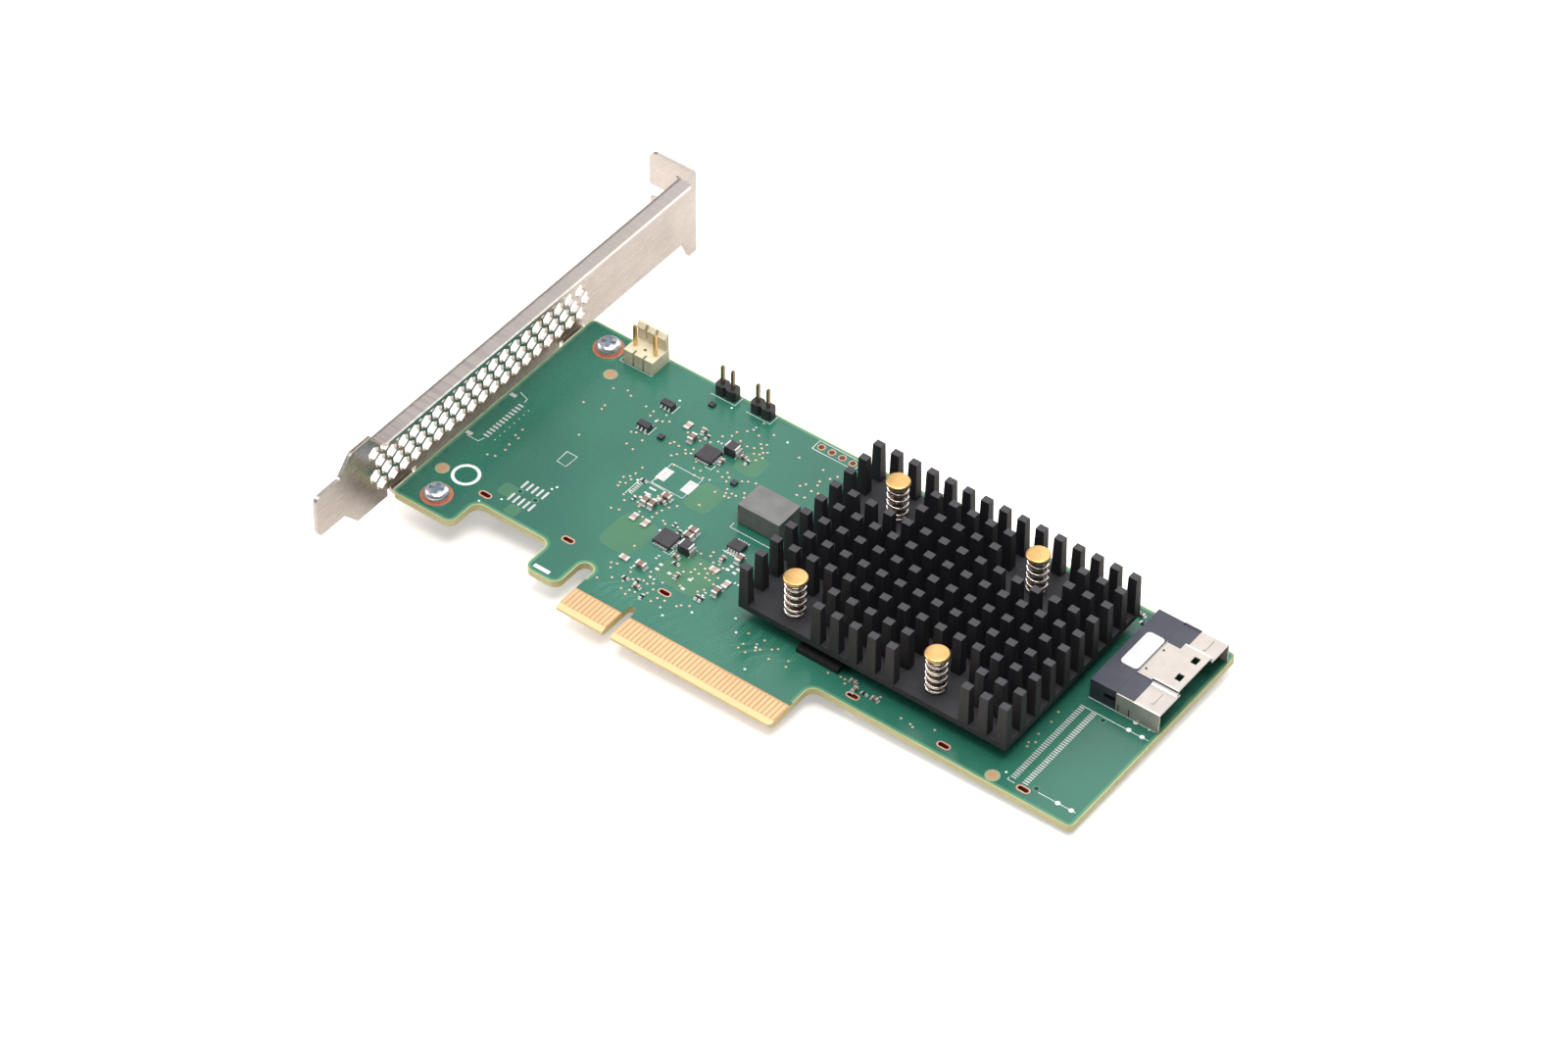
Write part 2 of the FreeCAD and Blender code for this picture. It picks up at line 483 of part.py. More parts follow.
def drive_connector():
    """Right-angle connector: moulded block, folded shell round its mouth, and two contact rows."""
    mid = (DRIVE_Y0 + DRIVE_Y1) / 2
    z_shell = DRIVE_H - SHELL_T
    block = box(DRIVE_X0, SHELL_X0, DRIVE_Y0, DRIVE_Y1, 0, DRIVE_H)
    neck = box(SHELL_X0, DRIVE_BLOCK_X1, DRIVE_Y0 + 0.01, DRIVE_Y1 - 0.8, 0, DRIVE_H)
    far_cheek = box(SHELL_X0, DRIVE_BLOCK_X1, DRIVE_Y1 - 0.8, DRIVE_Y1 - 0.01, 0, z_shell)
    housing = fuse([block, neck, far_cheek])
    half = DRIVE_CONTACTS * DRIVE_PITCH / 2 + 0.4
    slot = box(SHELL_X0 - 3.0, DRIVE_BLOCK_X1 + 1, mid - half, mid + half, 1.7, 1.7 + PADDLE_GAP)
    step = box(DRIVE_X0 - 1, DRIVE_X0 + 1.0, DRIVE_Y0 + 0.4, DRIVE_Y1 - 0.4, -1, 1.2)
    housing = cut(housing, [slot, step])
    # shell: two side walls, two top cheeks with a pressed rib each, and the raised latch bridge
    front = DRIVE_X1 - SHELL_T
    walls = [box(SHELL_X0, DRIVE_X1, DRIVE_Y0 - SHELL_T, DRIVE_Y0, 0, DRIVE_H),
             box(SHELL_X0, DRIVE_X1, DRIVE_Y1, DRIVE_Y1 + SHELL_T, 0, DRIVE_H)]
    cheeks = [box(DRIVE_BLOCK_X1, DRIVE_X1, DRIVE_Y0 - SHELL_T, BRIDGE_Y0 + SHELL_T, z_shell, DRIVE_H),
              box(DRIVE_BLOCK_X1, DRIVE_X1, BRIDGE_Y1 - SHELL_T, DRIVE_Y1 + SHELL_T, z_shell, DRIVE_H)]
    rib_x, window_x = DRIVE_X1 - RIB_IN, DRIVE_X1 - WINDOW_IN
    ribs = [box(rib_x - RIB_W / 2, rib_x + RIB_W / 2, y - RIB_L / 2, y + RIB_L / 2, DRIVE_H, DRIVE_H + STRIP_T)
            for y in RIB_Y]
    bridge = box(BRIDGE_X0, front, BRIDGE_Y0, BRIDGE_Y1, BRIDGE_Z - SHELL_T, BRIDGE_Z)
    legs = [box(DRIVE_BLOCK_X1, front, y, y + SHELL_T, z_shell, BRIDGE_Z)
            for y in (BRIDGE_Y0, BRIDGE_Y1 - SHELL_T)]
    strip = box(SHELL_X0, BRIDGE_X0 + SHELL_T, STRIP_Y0, STRIP_Y1, DRIVE_H, DRIVE_H + STRIP_T)
    riser = box(BRIDGE_X0, BRIDGE_X0 + SHELL_T, BRIDGE_Y0, BRIDGE_Y1, DRIVE_H, BRIDGE_Z)
    posts = [box(x - POST_W / 2, x + POST_W / 2, y - SHELL_T / 2, y + SHELL_T / 2, -BOARD_T - TAIL, SHELL_T)
             for x, y in shell_post_places()]
    shell = fuse(walls + cheeks + ribs + legs + posts + [bridge, strip, riser])
    windows = [box(window_x - WINDOW_L / 2, window_x + WINDOW_L / 2, y - WINDOW_W / 2, y + WINDOW_W / 2,
                   BRIDGE_Z - 1, BRIDGE_Z + 1) for y in WINDOW_Y]
    shell = cut(shell, windows)
    contacts = []
    for i in range(DRIVE_CONTACTS):
        y = mid + (i - (DRIVE_CONTACTS - 1) / 2) * DRIVE_PITCH
        w = DRIVE_PAD_W / 2
        contacts.append(box(DRIVE_X0 - 0.4, DRIVE_X0 + 1.0, y - w, y + w, 0, 0.2))
    x0 = DRIVE_X0 + LABEL_IN
    label = box(x0, x0 + LABEL_L, LABEL_Y0, LABEL_Y1, DRIVE_H, DRIVE_H + LABEL_T)
    return housing, shell, contacts, label


def header_body(x, y):
    """Two-way header insulator with clipped corners, as two joined octagons."""
    r, c = HEADER_PITCH / 2, 0.5
    outline = []
    for i in (0, 1):
        outline += [(x + i * HEADER_PITCH - r + c, y - r, 0), (x + i * HEADER_PITCH + r - c, y - r, 0),
                    (x + i * HEADER_PITCH + r, y - r + c, 0)][:3 if i else 2]
        if i == 0:
            outline.append((x + r, y - r + c, 0))
    outline += [(x + HEADER_PITCH + r, y + r - c, 0), (x + HEADER_PITCH + r - c, y + r, 0),
                (x + HEADER_PITCH - r + c, y + r, 0), (x + r, y + r - c, 0), (x + r - c, y + r, 0),
                (x - r + c, y + r, 0), (x - r, y + r - c, 0), (x - r, y - r + c, 0)]
    square = HEADER_PIN / 2
    holes = [box(x + i * HEADER_PITCH - square, x + i * HEADER_PITCH + square, y - square, y + square, -1, 9)
             for i in (0, 1)]
    return cut(plate(outline, 0, HEADER_H), holes)


def square_pin(x, y, top):
    """Square header pin with a pointed top and a tail through the board."""
    h = HEADER_PIN / 2
    shaft = box(x - h, x + h, y - h, y + h, -BOARD_T - TAIL, top - 0.4)
    return fuse([shaft, frustum(x, y, top - 0.4, top, HEADER_PIN, HEADER_PIN, 0.18)])


def lock_header():
    """Three-way header block with cross grooves and a ribbed, hooked friction wall behind it."""
    x0, x1 = lock_pin_x(0) - 1.15, lock_pin_x(2) + 1.15
    block = box(x0, x1, LOCK_FRONT, LOCK_BACK, 0, LOCK_BLOCK_H)
    profile = [V(x0 + 0.1, LOCK_BACK, 0), V(x0 + 0.1, LOCK_BACK, LOCK_WALL_TOP),
               V(x0 + 0.1, LOCK_BACK - 0.5, LOCK_WALL_TOP), V(x0 + 0.1, LOCK_BACK - LOCK_WALL_T - 0.35, LOCK_WALL_TOP - 1.0),
               V(x0 + 0.1, LOCK_BACK - LOCK_WALL_T, LOCK_WALL_TOP - 1.6), V(x0 + 0.1, LOCK_BACK - LOCK_WALL_T, 0)]
    wall = Part.Face(Part.makePolygon(profile + profile[:1])).extrude(V(x1 - x0 - 0.2, 0, 0))
    body = fuse([block, wall])
    tools = []
    for i in (0, 1):
        x = lock_pin_x(i) + HEADER_PITCH / 2
        tools.append(box(x - 0.22, x + 0.22, LOCK_FRONT - 1, LOCK_FRONT + 1.2, -1, LOCK_BLOCK_H + 1))
        tools.append(box(x - 0.35, x + 0.35, LOCK_BACK - LOCK_WALL_T - 1, LOCK_BACK - 0.45,
                         LOCK_BLOCK_H + 0.6, LOCK_WALL_TOP + 1))
    square = HEADER_PIN / 2
    for i in (0, 1, 2):
        x = lock_pin_x(i)
        tools.append(box(x - square, x + square, LOCK_Y - square, LOCK_Y + square, -1, LOCK_BLOCK_H + 1))
    return cut(body, tools)


def gull_leads(x, y, width, span, count, pitch):
    """Two rows of flat leads that step down from a small package to the board."""
    leads = []
    for side in (-1, 1):
        for i in range(count):
            cx = x + (i - (count - 1) / 2) * pitch
            y0, y1, y2 = width / 2, width / 2 + 0.35, span / 2
            ring = [V(cx - 0.2, y + side * a, b) for a, b in ((y0, 0), (y2, 0), (y2, 0.15), (y1, 0.15), (y0, 0.6))]
            leads.append(Part.Face(Part.makePolygon(ring + ring[:1])).extrude(V(0.4, 0, 0)))
    return leads


def diode_terminal(x, y, side):
    """Strap that comes out of the end of the body and is folded under it."""
    inner, end, outer = (x + side * a for a in (0.7, 1.38, 1.68))
    foot = box(min(inner, outer), max(inner, outer), y - 1.0, y + 1.0, 0, 0.3)
    return fuse([foot, box(min(end, outer), max(end, outer), y - 1.0, y + 1.0, 0, 1.3)])


def chip(x, y, quarter, length, width, height):
    """Two-ended chip component, seated on the board."""
    return place(box(-length / 2, length / 2, -width / 2, width / 2, 0, height), x, y, quarter)


os.makedirs("parts", exist_ok=True)

export("circuit_board", circuit_board())
export("front_edge_contacts", edge_contacts(0, CONTACT_T))
export("back_edge_contacts", edge_contacts(-BOARD_T - CONTACT_T, -BOARD_T))
export("mounting_bracket", mounting_bracket())
export("bracket_screws", [bracket_screw(x, y) for x, y in SCREWS])
export("heatsink", heatsink())
export("push_pins", [push_pin(x, y) for x, y in pin_places()])
export("push_pin_springs", [push_pin_spring(x, y) for x, y in pin_places()])

substrate, lid, pad = controller_chip()
export("controller_chip", substrate)
export("controller_chip_lid", lid)
export("thermal_pad", pad)
export("memory_chip", memory_chip())

coil, coil_legs = power_inductor()
export("power_inductor", coil)
export("inductor_terminals", coil_legs)

housing, shell, contacts, label = drive_connector()
export("drive_connector_housing", housing)
export("drive_connector_shell", shell)
export("drive_connector_contacts", contacts)
export("drive_connector_label", label)

export("two_pin_headers", [header_body(x, y) for x, y in TWO_PIN])
export("two_pin_header_pins", [square_pin(x + i * HEADER_PITCH, y, HEADER_PIN_TOP)
                               for x, y in TWO_PIN for i in (0, 1)])
export("lock_header", lock_header())
export("lock_header_pins", [square_pin(lock_pin_x(i), LOCK_Y, LOCK_PIN_TOP) for i in (0, 2)])

half = QFN_SIDE / 2
export("regulator_chips", [box(x - half, x + half, y - half, y + half, 0, QFN_H) for x, y in QFN])
export("six_lead_chips", [frustum(x, y, 0.1, 1.1, 2.9, 1.6, 0.06) for x, y in SIX_LEAD])
export("six_lead_chip_leads", [g for x, y in SIX_LEAD for g in gull_leads(x, y, 1.6, 2.8, 3, 0.95)])
export("driver_chip", frustum(DRIVER[0], DRIVER[1], 0.1, 1.0, 3.2, 2.6, 0.06))
export("driver_chip_leads", gull_leads(DRIVER[0], DRIVER[1], 2.6, 3.8, 4, 0.65))

export("power_diodes", [frustum(x, y, 0.3, 2.0, 2.7, 2.6, 0.1) for x, y, q in DIODES])
export("power_diode_terminals", [diode_terminal(x, y, side) for x, y, q in DIODES for side in (-1, 1)])
export("ceramic_capacitors", [chip(x, y, q, 2.0, 1.25, 1.1) for x, y, q in CAPS_LARGE]
       + [chip(x, y, q, 1.3, 0.75, 0.7) for x, y, q in CAPS_SMALL])
export("resistors", [chip(x, y, q, 1.1, 0.6, 0.4) for x, y, q in RESISTORS])
export("logic_chips", [box(x - 0.6, x + 0.6, y - 0.6, y + 0.6, 0, 0.6) for x, y in LOGIC])
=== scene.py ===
"""Dresses a drive controller card: finishes, solder, print and the fine pieces of its frame model."""
from __future__ import annotations

import json
import logging
import math
import random
from dataclasses import dataclass, field
from enum import Enum
from typing import Iterable, Mapping, Sequence

import bmesh
import bpy
from mathutils import Matrix, Vector

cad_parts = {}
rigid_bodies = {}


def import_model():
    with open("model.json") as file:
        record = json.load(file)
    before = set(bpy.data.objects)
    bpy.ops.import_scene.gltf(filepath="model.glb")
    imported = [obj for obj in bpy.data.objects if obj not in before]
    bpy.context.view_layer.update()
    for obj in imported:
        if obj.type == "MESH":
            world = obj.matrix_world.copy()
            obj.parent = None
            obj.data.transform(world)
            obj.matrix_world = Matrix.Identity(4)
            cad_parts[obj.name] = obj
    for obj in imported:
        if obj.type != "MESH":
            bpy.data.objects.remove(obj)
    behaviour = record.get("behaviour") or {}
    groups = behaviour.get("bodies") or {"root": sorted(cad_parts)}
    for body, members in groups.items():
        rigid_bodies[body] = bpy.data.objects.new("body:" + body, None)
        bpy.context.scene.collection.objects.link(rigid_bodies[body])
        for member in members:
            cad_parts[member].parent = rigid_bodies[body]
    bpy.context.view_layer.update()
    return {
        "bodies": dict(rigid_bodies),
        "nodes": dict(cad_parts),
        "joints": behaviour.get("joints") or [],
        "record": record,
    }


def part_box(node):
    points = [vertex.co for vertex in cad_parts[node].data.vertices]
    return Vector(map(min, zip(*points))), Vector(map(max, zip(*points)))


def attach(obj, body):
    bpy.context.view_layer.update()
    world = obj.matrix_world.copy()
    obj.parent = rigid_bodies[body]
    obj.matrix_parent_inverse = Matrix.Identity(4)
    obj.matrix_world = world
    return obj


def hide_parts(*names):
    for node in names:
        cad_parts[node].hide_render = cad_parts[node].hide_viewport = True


LOG = logging.getLogger("controller_card")
MM = 0.001
BOARD_T = 1.57                       # laminate thickness, mm
RIM_T = 0.012                        # thickness of the mask's rim bands, mm
Point = tuple[float, float]
Colour = tuple[float, float, float, float]
Box = tuple[Vector, Vector]
Corner = tuple[float, float, float]
Line = Sequence[Sequence[float]]
PLACED_PARTS = ("ceramic_capacitors", "resistors", "regulator_chips", "power_diodes", "driver_chip",
                "six_lead_chips", "logic_chips", "power_inductor", "heatsink")


def rgb(red: float, green: float, blue: float) -> Colour:
    """Linear colour from display values of 0 to 255.

    Args:
        red: display value of red.
        green: display value of green.
        blue: display value of blue.
    Returns:
        The linear colour, with an alpha of 1.
    """
    def linear(value: float) -> float:
        """One channel."""
        v = value / 255
        return v / 12.92 if v <= 0.04045 else ((v + 0.055) / 1.055) ** 2.4
    return linear(red), linear(green), linear(blue), 1.0


def new_object(name: str, data: bpy.types.ID) -> bpy.types.Object:
    """Adds an object to the scene.

    Args:
        name: the object's name.
        data: its mesh, lamp or camera.
    Returns:
        The new object.
    """
    made = bpy.data.objects.new(name, data)
    bpy.context.collection.objects.link(made)
    return made


class Side(Enum):
    """The two faces of the board."""

    TOP = 1
    BACK = -1

    def height(self, above: float) -> float:
        """Height in mm of something that stands `above` this face."""
        return above if self is Side.TOP else -BOARD_T - above


class Graph:
    """Adds nodes to one shader or geometry tree."""

    def __init__(self, tree: bpy.types.NodeTree) -> None:
        """Work on `tree`."""
        self.tree = tree

    def node(self, kind: str, settings: Mapping | None = None,
             sockets: Mapping | None = None) -> bpy.types.Node:
        """Adds one node.

        Args:
            kind: Blender's identifier of the node.
            settings: the node's own settings, set first; "stops" are a ramp's places and colours.
            sockets: a value or a link for each named or numbered input.
        Returns:
            The new node.
        """
        made = self.tree.nodes.new(kind)
        for key, value in (settings or {}).items():
            if key == "stops":
                ramp = made.color_ramp
                while len(ramp.elements) < len(value):
                    ramp.elements.new(0.5)
                for element, (place, colour) in zip(ramp.elements, value):
                    element.position, element.color = place, colour
            else:
                setattr(made, key, value)
        for key, value in (sockets or {}).items():
            self.feed(made.inputs[key], value)
        return made

    def feed(self, socket: bpy.types.NodeSocket, value: object) -> None:
        """Links or sets one input socket.

        Args:
            socket: the input.
            value: a signal or socket to link, or a plain value to set.
        """
        source = value.socket if isinstance(value, Signal) else value
        if isinstance(source, bpy.types.NodeSocket):
            self.tree.links.new(source, socket)
        else:
            socket.default_value = source

    def signal(self, kind: str, output: str | int, settings: Mapping | None = None,
               sockets: Mapping | None = None) -> Signal:
        """Adds a node and gives one of its outputs as a signal."""
        return Signal(self, self.node(kind, settings, sockets).outputs[output])


class Signal:
    """A socket that takes part in Python arithmetic."""

    def __init__(self, graph: Graph, socket: bpy.types.NodeSocket) -> None:
        """Wrap `socket`."""
        self.graph, self.socket = graph, socket

    def math(self, operation: str, *values: object) -> Signal:
        """A Math node on the given values."""
        return self.graph.signal("ShaderNodeMath", 0, {"operation": operation}, dict(enumerate(values)))

    def __add__(self, other: object) -> Signal:
        """Sum."""
        return self.math("ADD", self, other)

    __radd__ = __add__

    def __sub__(self, other: object) -> Signal:
        """Difference."""
        return self.math("SUBTRACT", self, other)

    def __rsub__(self, other: object) -> Signal:
        """Difference from a number."""
        return self.math("SUBTRACT", other, self)

    def __mul__(self, other: object) -> Signal:
        """Product."""
        return self.math("MULTIPLY", self, other)

    __rmul__ = __mul__

    def above(self, limit: float) -> Signal:
        """1 where the signal is over the limit, else 0."""
        return self.math("GREATER_THAN", self, limit)

    def span(self, low: float, high: float, to_low: float = 0.0, to_high: float = 1.0) -> Signal:
        """The signal mapped from one range to another, clamped."""
        return self.graph.signal("ShaderNodeMapRange", 0, {"clamp": True},
                                 {0: self, 1: low, 2: high, 3: to_low, 4: to_high})


class Shader(Graph):
    """One material's tree, with the patterns that its finishes share."""

    def __init__(self, name: str) -> None:
        """Start an empty material.

        Args:
            name: the material's name.
        """
        self.material = bpy.data.materials.new(name)
        self.material.use_nodes = True
        super().__init__(self.material.node_tree)
        self.tree.nodes.clear()
        self.place = self.signal("ShaderNodeTexCoord", "Object")

    def axes(self) -> tuple[Signal, Signal, Signal]:
        """X, Y and Z of the surface point in mm."""
        split = self.node("ShaderNodeSeparateXYZ", sockets={0: self.place})
        return tuple(Signal(self, socket) * (1 / MM) for socket in split.outputs)

    def stretched(self, scale: Sequence[float]) -> Signal:
        """The surface point scaled along each axis."""
        return self.signal("ShaderNodeMapping", 0, sockets={"Vector": self.place, "Scale": tuple(scale)})

    def noise(self, per_metre: float, detail: float = 3.0, vector: Signal | None = None) -> Signal:
        """Smooth noise from about 0.3 to 0.7."""
        return self.signal("ShaderNodeTexNoise", 0, sockets={
            "Vector": vector or self.place, "Scale": per_metre, "Detail": detail, "Roughness": 0.55})

    def blend(self, factor: object, first: object, second: object) -> Signal:
        """Colour that goes from the first to the second.

        Args:
            factor: 0 for the first, 1 for the second.
            first: a colour or a colour signal.
            second: a colour or a colour signal.
        Returns:
            The mixed colour.
        """
        node = self.node("ShaderNodeMix", {"data_type": "RGBA", "clamp_factor": True})
        for key, value in ((0, factor), (6, first), (7, second)):
            self.feed(node.inputs[key], value)
        return Signal(self, node.outputs[2])

    def blend_value(self, factor: Signal, first: object, second: object) -> Signal:
        """Number that goes from the first to the second."""
        return factor * second + (1.0 - factor) * first

    def bump(self, height: Signal, strength: float, distance_mm: float) -> Signal:
        """Surface relief from a height signal."""
        return self.signal("ShaderNodeBump", 0, sockets={"Height": height, "Strength": strength,
                                                         "Distance": distance_mm * MM})

    def surface(self, sockets: Mapping[str, object]) -> bpy.types.Material:
        """Closes the tree with a Principled shader and returns the material.

        Args:
            sockets: a value or a signal for each of the shader's named inputs.
        Returns:
            The finished material.
        """
        shader = self.node("ShaderNodeBsdfPrincipled", sockets=sockets)
        output = self.node("ShaderNodeOutputMaterial")
        self.tree.links.new(shader.outputs[0], output.inputs["Surface"])
        return self.material


@dataclass(frozen=True)
class Finish:
    """An even finish: two near colours in soft patches, and a fine relief."""

    name: str
    colour: Colour
    second: Colour
    roughness: float
    metallic: float = 0.0
    patch_mm: float = 4.0
    grain_mm: float = 0.25
    relief: float = 0.15
    stretch: tuple[float, float, float] = (1.0, 1.0, 1.0)

    def material(self) -> bpy.types.Material:
        """Builds the material.

        Returns:
            The new material.
        """
        s = Shader(self.name)
        vector = s.stretched(self.stretch)
        patches = s.noise(1 / (self.patch_mm * MM), 2.0).span(0.35, 0.65)
        grain = s.noise(1 / (self.grain_mm * MM), 3.0, vector)
        mixed = patches * 0.6 + grain.span(0.3, 0.7) * 0.4
        rough = grain.span(0.3, 0.7, self.roughness - 0.05, self.roughness + 0.06)
        return s.surface({"Base Color": s.blend(mixed, self.colour, self.second), "Roughness": rough,
                          "Metallic": self.metallic, "Normal": s.bump(grain, self.relief, 0.02)})


@dataclass(frozen=True)
class SolderMask:
    """Green mask over copper on both faces, bare laminate between the contacts and on the cut edges."""

    name: str = "solder_mask"
    over_copper: Colour = rgb(46, 111, 92)
    shaded: Colour = rgb(31, 92, 76)
    laminate: Colour = rgb(212, 206, 160)
    laminate_dark: Colour = rgb(190, 184, 136)
    tongue: Colour = rgb(206, 160, 114)
    tongue_dark: Colour = rgb(190, 140, 96)
    tongue_edge: Colour = rgb(226, 202, 146)
    tongue_mm: tuple[float, float, float] = (-12.4, 39.4, 6.1)

    def material(self) -> bpy.types.Material:
        """Builds the material: the place on the board tells mask, tongue and cut edge apart.

        Returns:
            The new material.
        """
        s = Shader(self.name)
        x, y, z = s.axes()
        middle = z + BOARD_T / 2
        face = middle.math("ABSOLUTE", middle).above(BOARD_T / 2 - 0.004)
        left, right, top = self.tongue_mm
        bare = x.above(left) * (1.0 - x.above(right)) * (1.0 - y.above(top))
        broad = s.noise(24.0, 2.0).span(0.35, 0.65)
        weave = s.noise(900.0, 2.0)
        mask = s.blend(broad * 0.8 + weave.span(0.3, 0.7) * 0.06, self.over_copper, self.shaded)
        plies = s.noise(60.0, 2.0, s.stretched((1.0, 1.0, 90.0)))
        edge = s.blend(plies.span(0.35, 0.65), self.laminate, self.laminate_dark)
        edge = s.blend(bare * 0.8, edge, self.tongue_edge)
        flats = s.blend(bare, mask, s.blend(weave.span(0.3, 0.7), self.tongue, self.tongue_dark))
        return s.surface({
            "Base Color": s.blend(face, edge, flats),
            "Roughness": s.blend_value(face, plies.span(0.3, 0.7, 0.5, 0.65),
                                       weave.span(0.3, 0.7, 0.25, 0.28)),
            "Normal": s.bump(weave, 0.012, 0.02)})


@dataclass(frozen=True)
class ContactGold:
    """Thin gold on the edge contacts: each finger is lighter along its middle, with faint wipe marks."""

    name: str = "gold_plate"
    light: Colour = rgb(228, 198, 152)
    dark: Colour = rgb(206, 170, 126)
    pitch_mm: float = 1.0
    first_mm: float = -11.5

    def material(self) -> bpy.types.Material:
        """Builds the material.

        Returns:
            The new material.
        """
        s = Shader(self.name)
        along = s.axes()[0] - self.first_mm
        phase = along.math("PINGPONG", along, self.pitch_mm / 2)
        wipes = s.noise(1400.0, 2.0, s.stretched((1.0, 0.06, 1.0))).span(0.35, 0.65)
        soft = s.noise(160.0, 2.0).span(0.35, 0.65)
        tone = phase.span(0.1, 0.34) * 0.55 + wipes * 0.2 + soft * 0.25
        return s.surface({"Base Color": s.blend(tone, self.light, self.dark), "Metallic": 0.7,
                          "Roughness": wipes.span(0.0, 1.0, 0.3, 0.4), "Normal": s.bump(wipes, 0.05, 0.02)})


@dataclass(frozen=True)
class BracketSteel:
    """Nickel plated sheet: fine lines across its folded flange, soft patches on the flats, painted shade on
    the flange and along its bend, and a painted highlight along its free edge.
    """

    name: str = "bracket_steel"
    light: Colour = rgb(210, 203, 199)
    dark: Colour = rgb(186, 178, 173)
    # painted shade: the flange's top is drawn darker than the upright sheet
    flange: Colour = rgb(166, 156, 149)
    # painted highlight along the flange's free edge
    free_edge_highlight: Colour = rgb(246, 241, 236)
    # painted shade: a dark line along the flange's bend
    bend_shade: Colour = rgb(138, 128, 121)
    flange_mm: float = 15.7
    flange_x: tuple[float, float] = (-59.56, -55.11)
    edge_mm: float = 0.4
    bend_mm: float = 0.45

    def material(self) -> bpy.types.Material:
        """Builds the material.

        Returns:
            The new material.
        """
        s = Shader(self.name)
        x, _, z = s.axes()
        on_flange = z.above(self.flange_mm)
        ribs = s.noise(1500.0, 1.0, s.stretched((0.03, 1.0, 0.03))).span(0.38, 0.62)
        grain = s.noise(2600.0, 3.0, s.stretched((1.0, 0.12, 1.0))).span(0.3, 0.7)
        soft = s.noise(70.0, 2.0).span(0.35, 0.65)
        tone = s.blend_value(on_flange, soft * 0.55 + grain * 0.35, ribs * 0.55 + soft * 0.35)
        outer, inner = self.flange_x
        # the flange takes painted shade, its free edge a painted highlight, its bend a line of painted shade
        sheet = s.blend(on_flange * 0.55, s.blend(tone, self.light, self.dark), self.flange)
        sheet = s.blend(on_flange * x.above(inner - self.edge_mm) * 0.85, sheet, self.free_edge_highlight)
        sheet = s.blend(on_flange * (1.0 - x.above(outer + self.bend_mm)), sheet, self.bend_shade)
        return s.surface({"Base Color": sheet, "Metallic": 1.0,
                          "Roughness": s.blend_value(on_flange, grain.span(0.0, 1.0, 0.24, 0.32),
                                                     ribs.span(0.0, 1.0, 0.28, 0.44)),
                          "Normal": s.bump(ribs * on_flange + grain * 0.3, 0.25, 0.03)})


@dataclass(frozen=True)
class BlackAnodised:
    """Black anodised sink, with painted light: the fins' tops are drawn lighter than their sides."""

    name: str = "black_anodised"
    side: Colour = rgb(30, 29, 33)
    worn: Colour = rgb(40, 38, 43)
    # painted light: the lighter colour of the fins' tops
    top: Colour = rgb(54, 52, 57)
    top_mm: float = 13.49

    def material(self) -> bpy.types.Material:
        """Builds the material.

        Returns:
            The new material.
        """
        s = Shader(self.name)
        # painted light on the fins' tops
        painted_light_top = s.axes()[2].above(self.top_mm)
        fine = s.noise(2200.0, 3.0)
        drawn = s.noise(900.0, 2.0, s.stretched((1.0, 1.0, 0.06))).span(0.3, 0.7)
        flank = s.blend(drawn * 0.6 + fine.span(0.3, 0.7) * 0.4, self.side, self.worn)
        return s.surface({"Base Color": s.blend(painted_light_top, flank, self.top),
                          "Roughness": fine.span(0.3, 0.7, 0.5, 0.62), "Metallic": 0.1,
                          "Normal": s.bump(fine, 0.2, 0.02)})


GOLD = Finish("lead_gold", rgb(228, 190, 140), rgb(206, 166, 116), 0.35, 0.8, 6.0, 0.3, 0.05)
PIN_GOLD = Finish("pin_gold", rgb(160, 142, 108), rgb(128, 112, 84), 0.3, 0.9, 2.0, 0.2, 0.05)
BRIGHT_PIN = Finish("bright_pin_gold", rgb(232, 200, 134), rgb(208, 170, 104), 0.28, 0.85, 2.0, 0.2, 0.05)
BRASS = Finish("turned_brass", rgb(218, 180, 120), rgb(198, 156, 96), 0.34, 0.85, 3.0, 0.15, 0.08)
# painted shade: the pins' brass drawn darker on the shafts inside the springs
SHAFT_SHADE = Finish("shaded_pin_shaft", rgb(176, 150, 128), rgb(142, 118, 98), 0.35, 0.8, 2.0, 0.2, 0.05)
SPRING = Finish("spring_wire", rgb(250, 243, 237), rgb(218, 210, 204), 0.2, 1.0, 1.0, 0.15, 0.03)
SCREW = Finish("zinc_plate", rgb(226, 230, 236), rgb(196, 202, 212), 0.24, 0.9, 1.2, 0.12, 0.06)
# painted shade with a bluish painted reflection, for the screws' cross recesses
RECESS_SHADE = Finish("shaded_screw_recess", rgb(158, 176, 198), rgb(118, 138, 162), 0.35, 0.75, 1.2, 0.12, 0.06)
COPPER = Finish("bare_copper", rgb(208, 154, 120), rgb(192, 136, 104), 0.42, 0.3, 2.0, 0.2, 0.08)
SCREW_PAD = Finish("screw_pad", rgb(204, 126, 98), rgb(182, 104, 78), 0.42, 0.3, 2.0, 0.2, 0.08)
SLOT_PAD = Finish("slot_pad", rgb(208, 168, 146), rgb(192, 148, 126), 0.45, 0.15, 1.0, 0.2, 0.05)
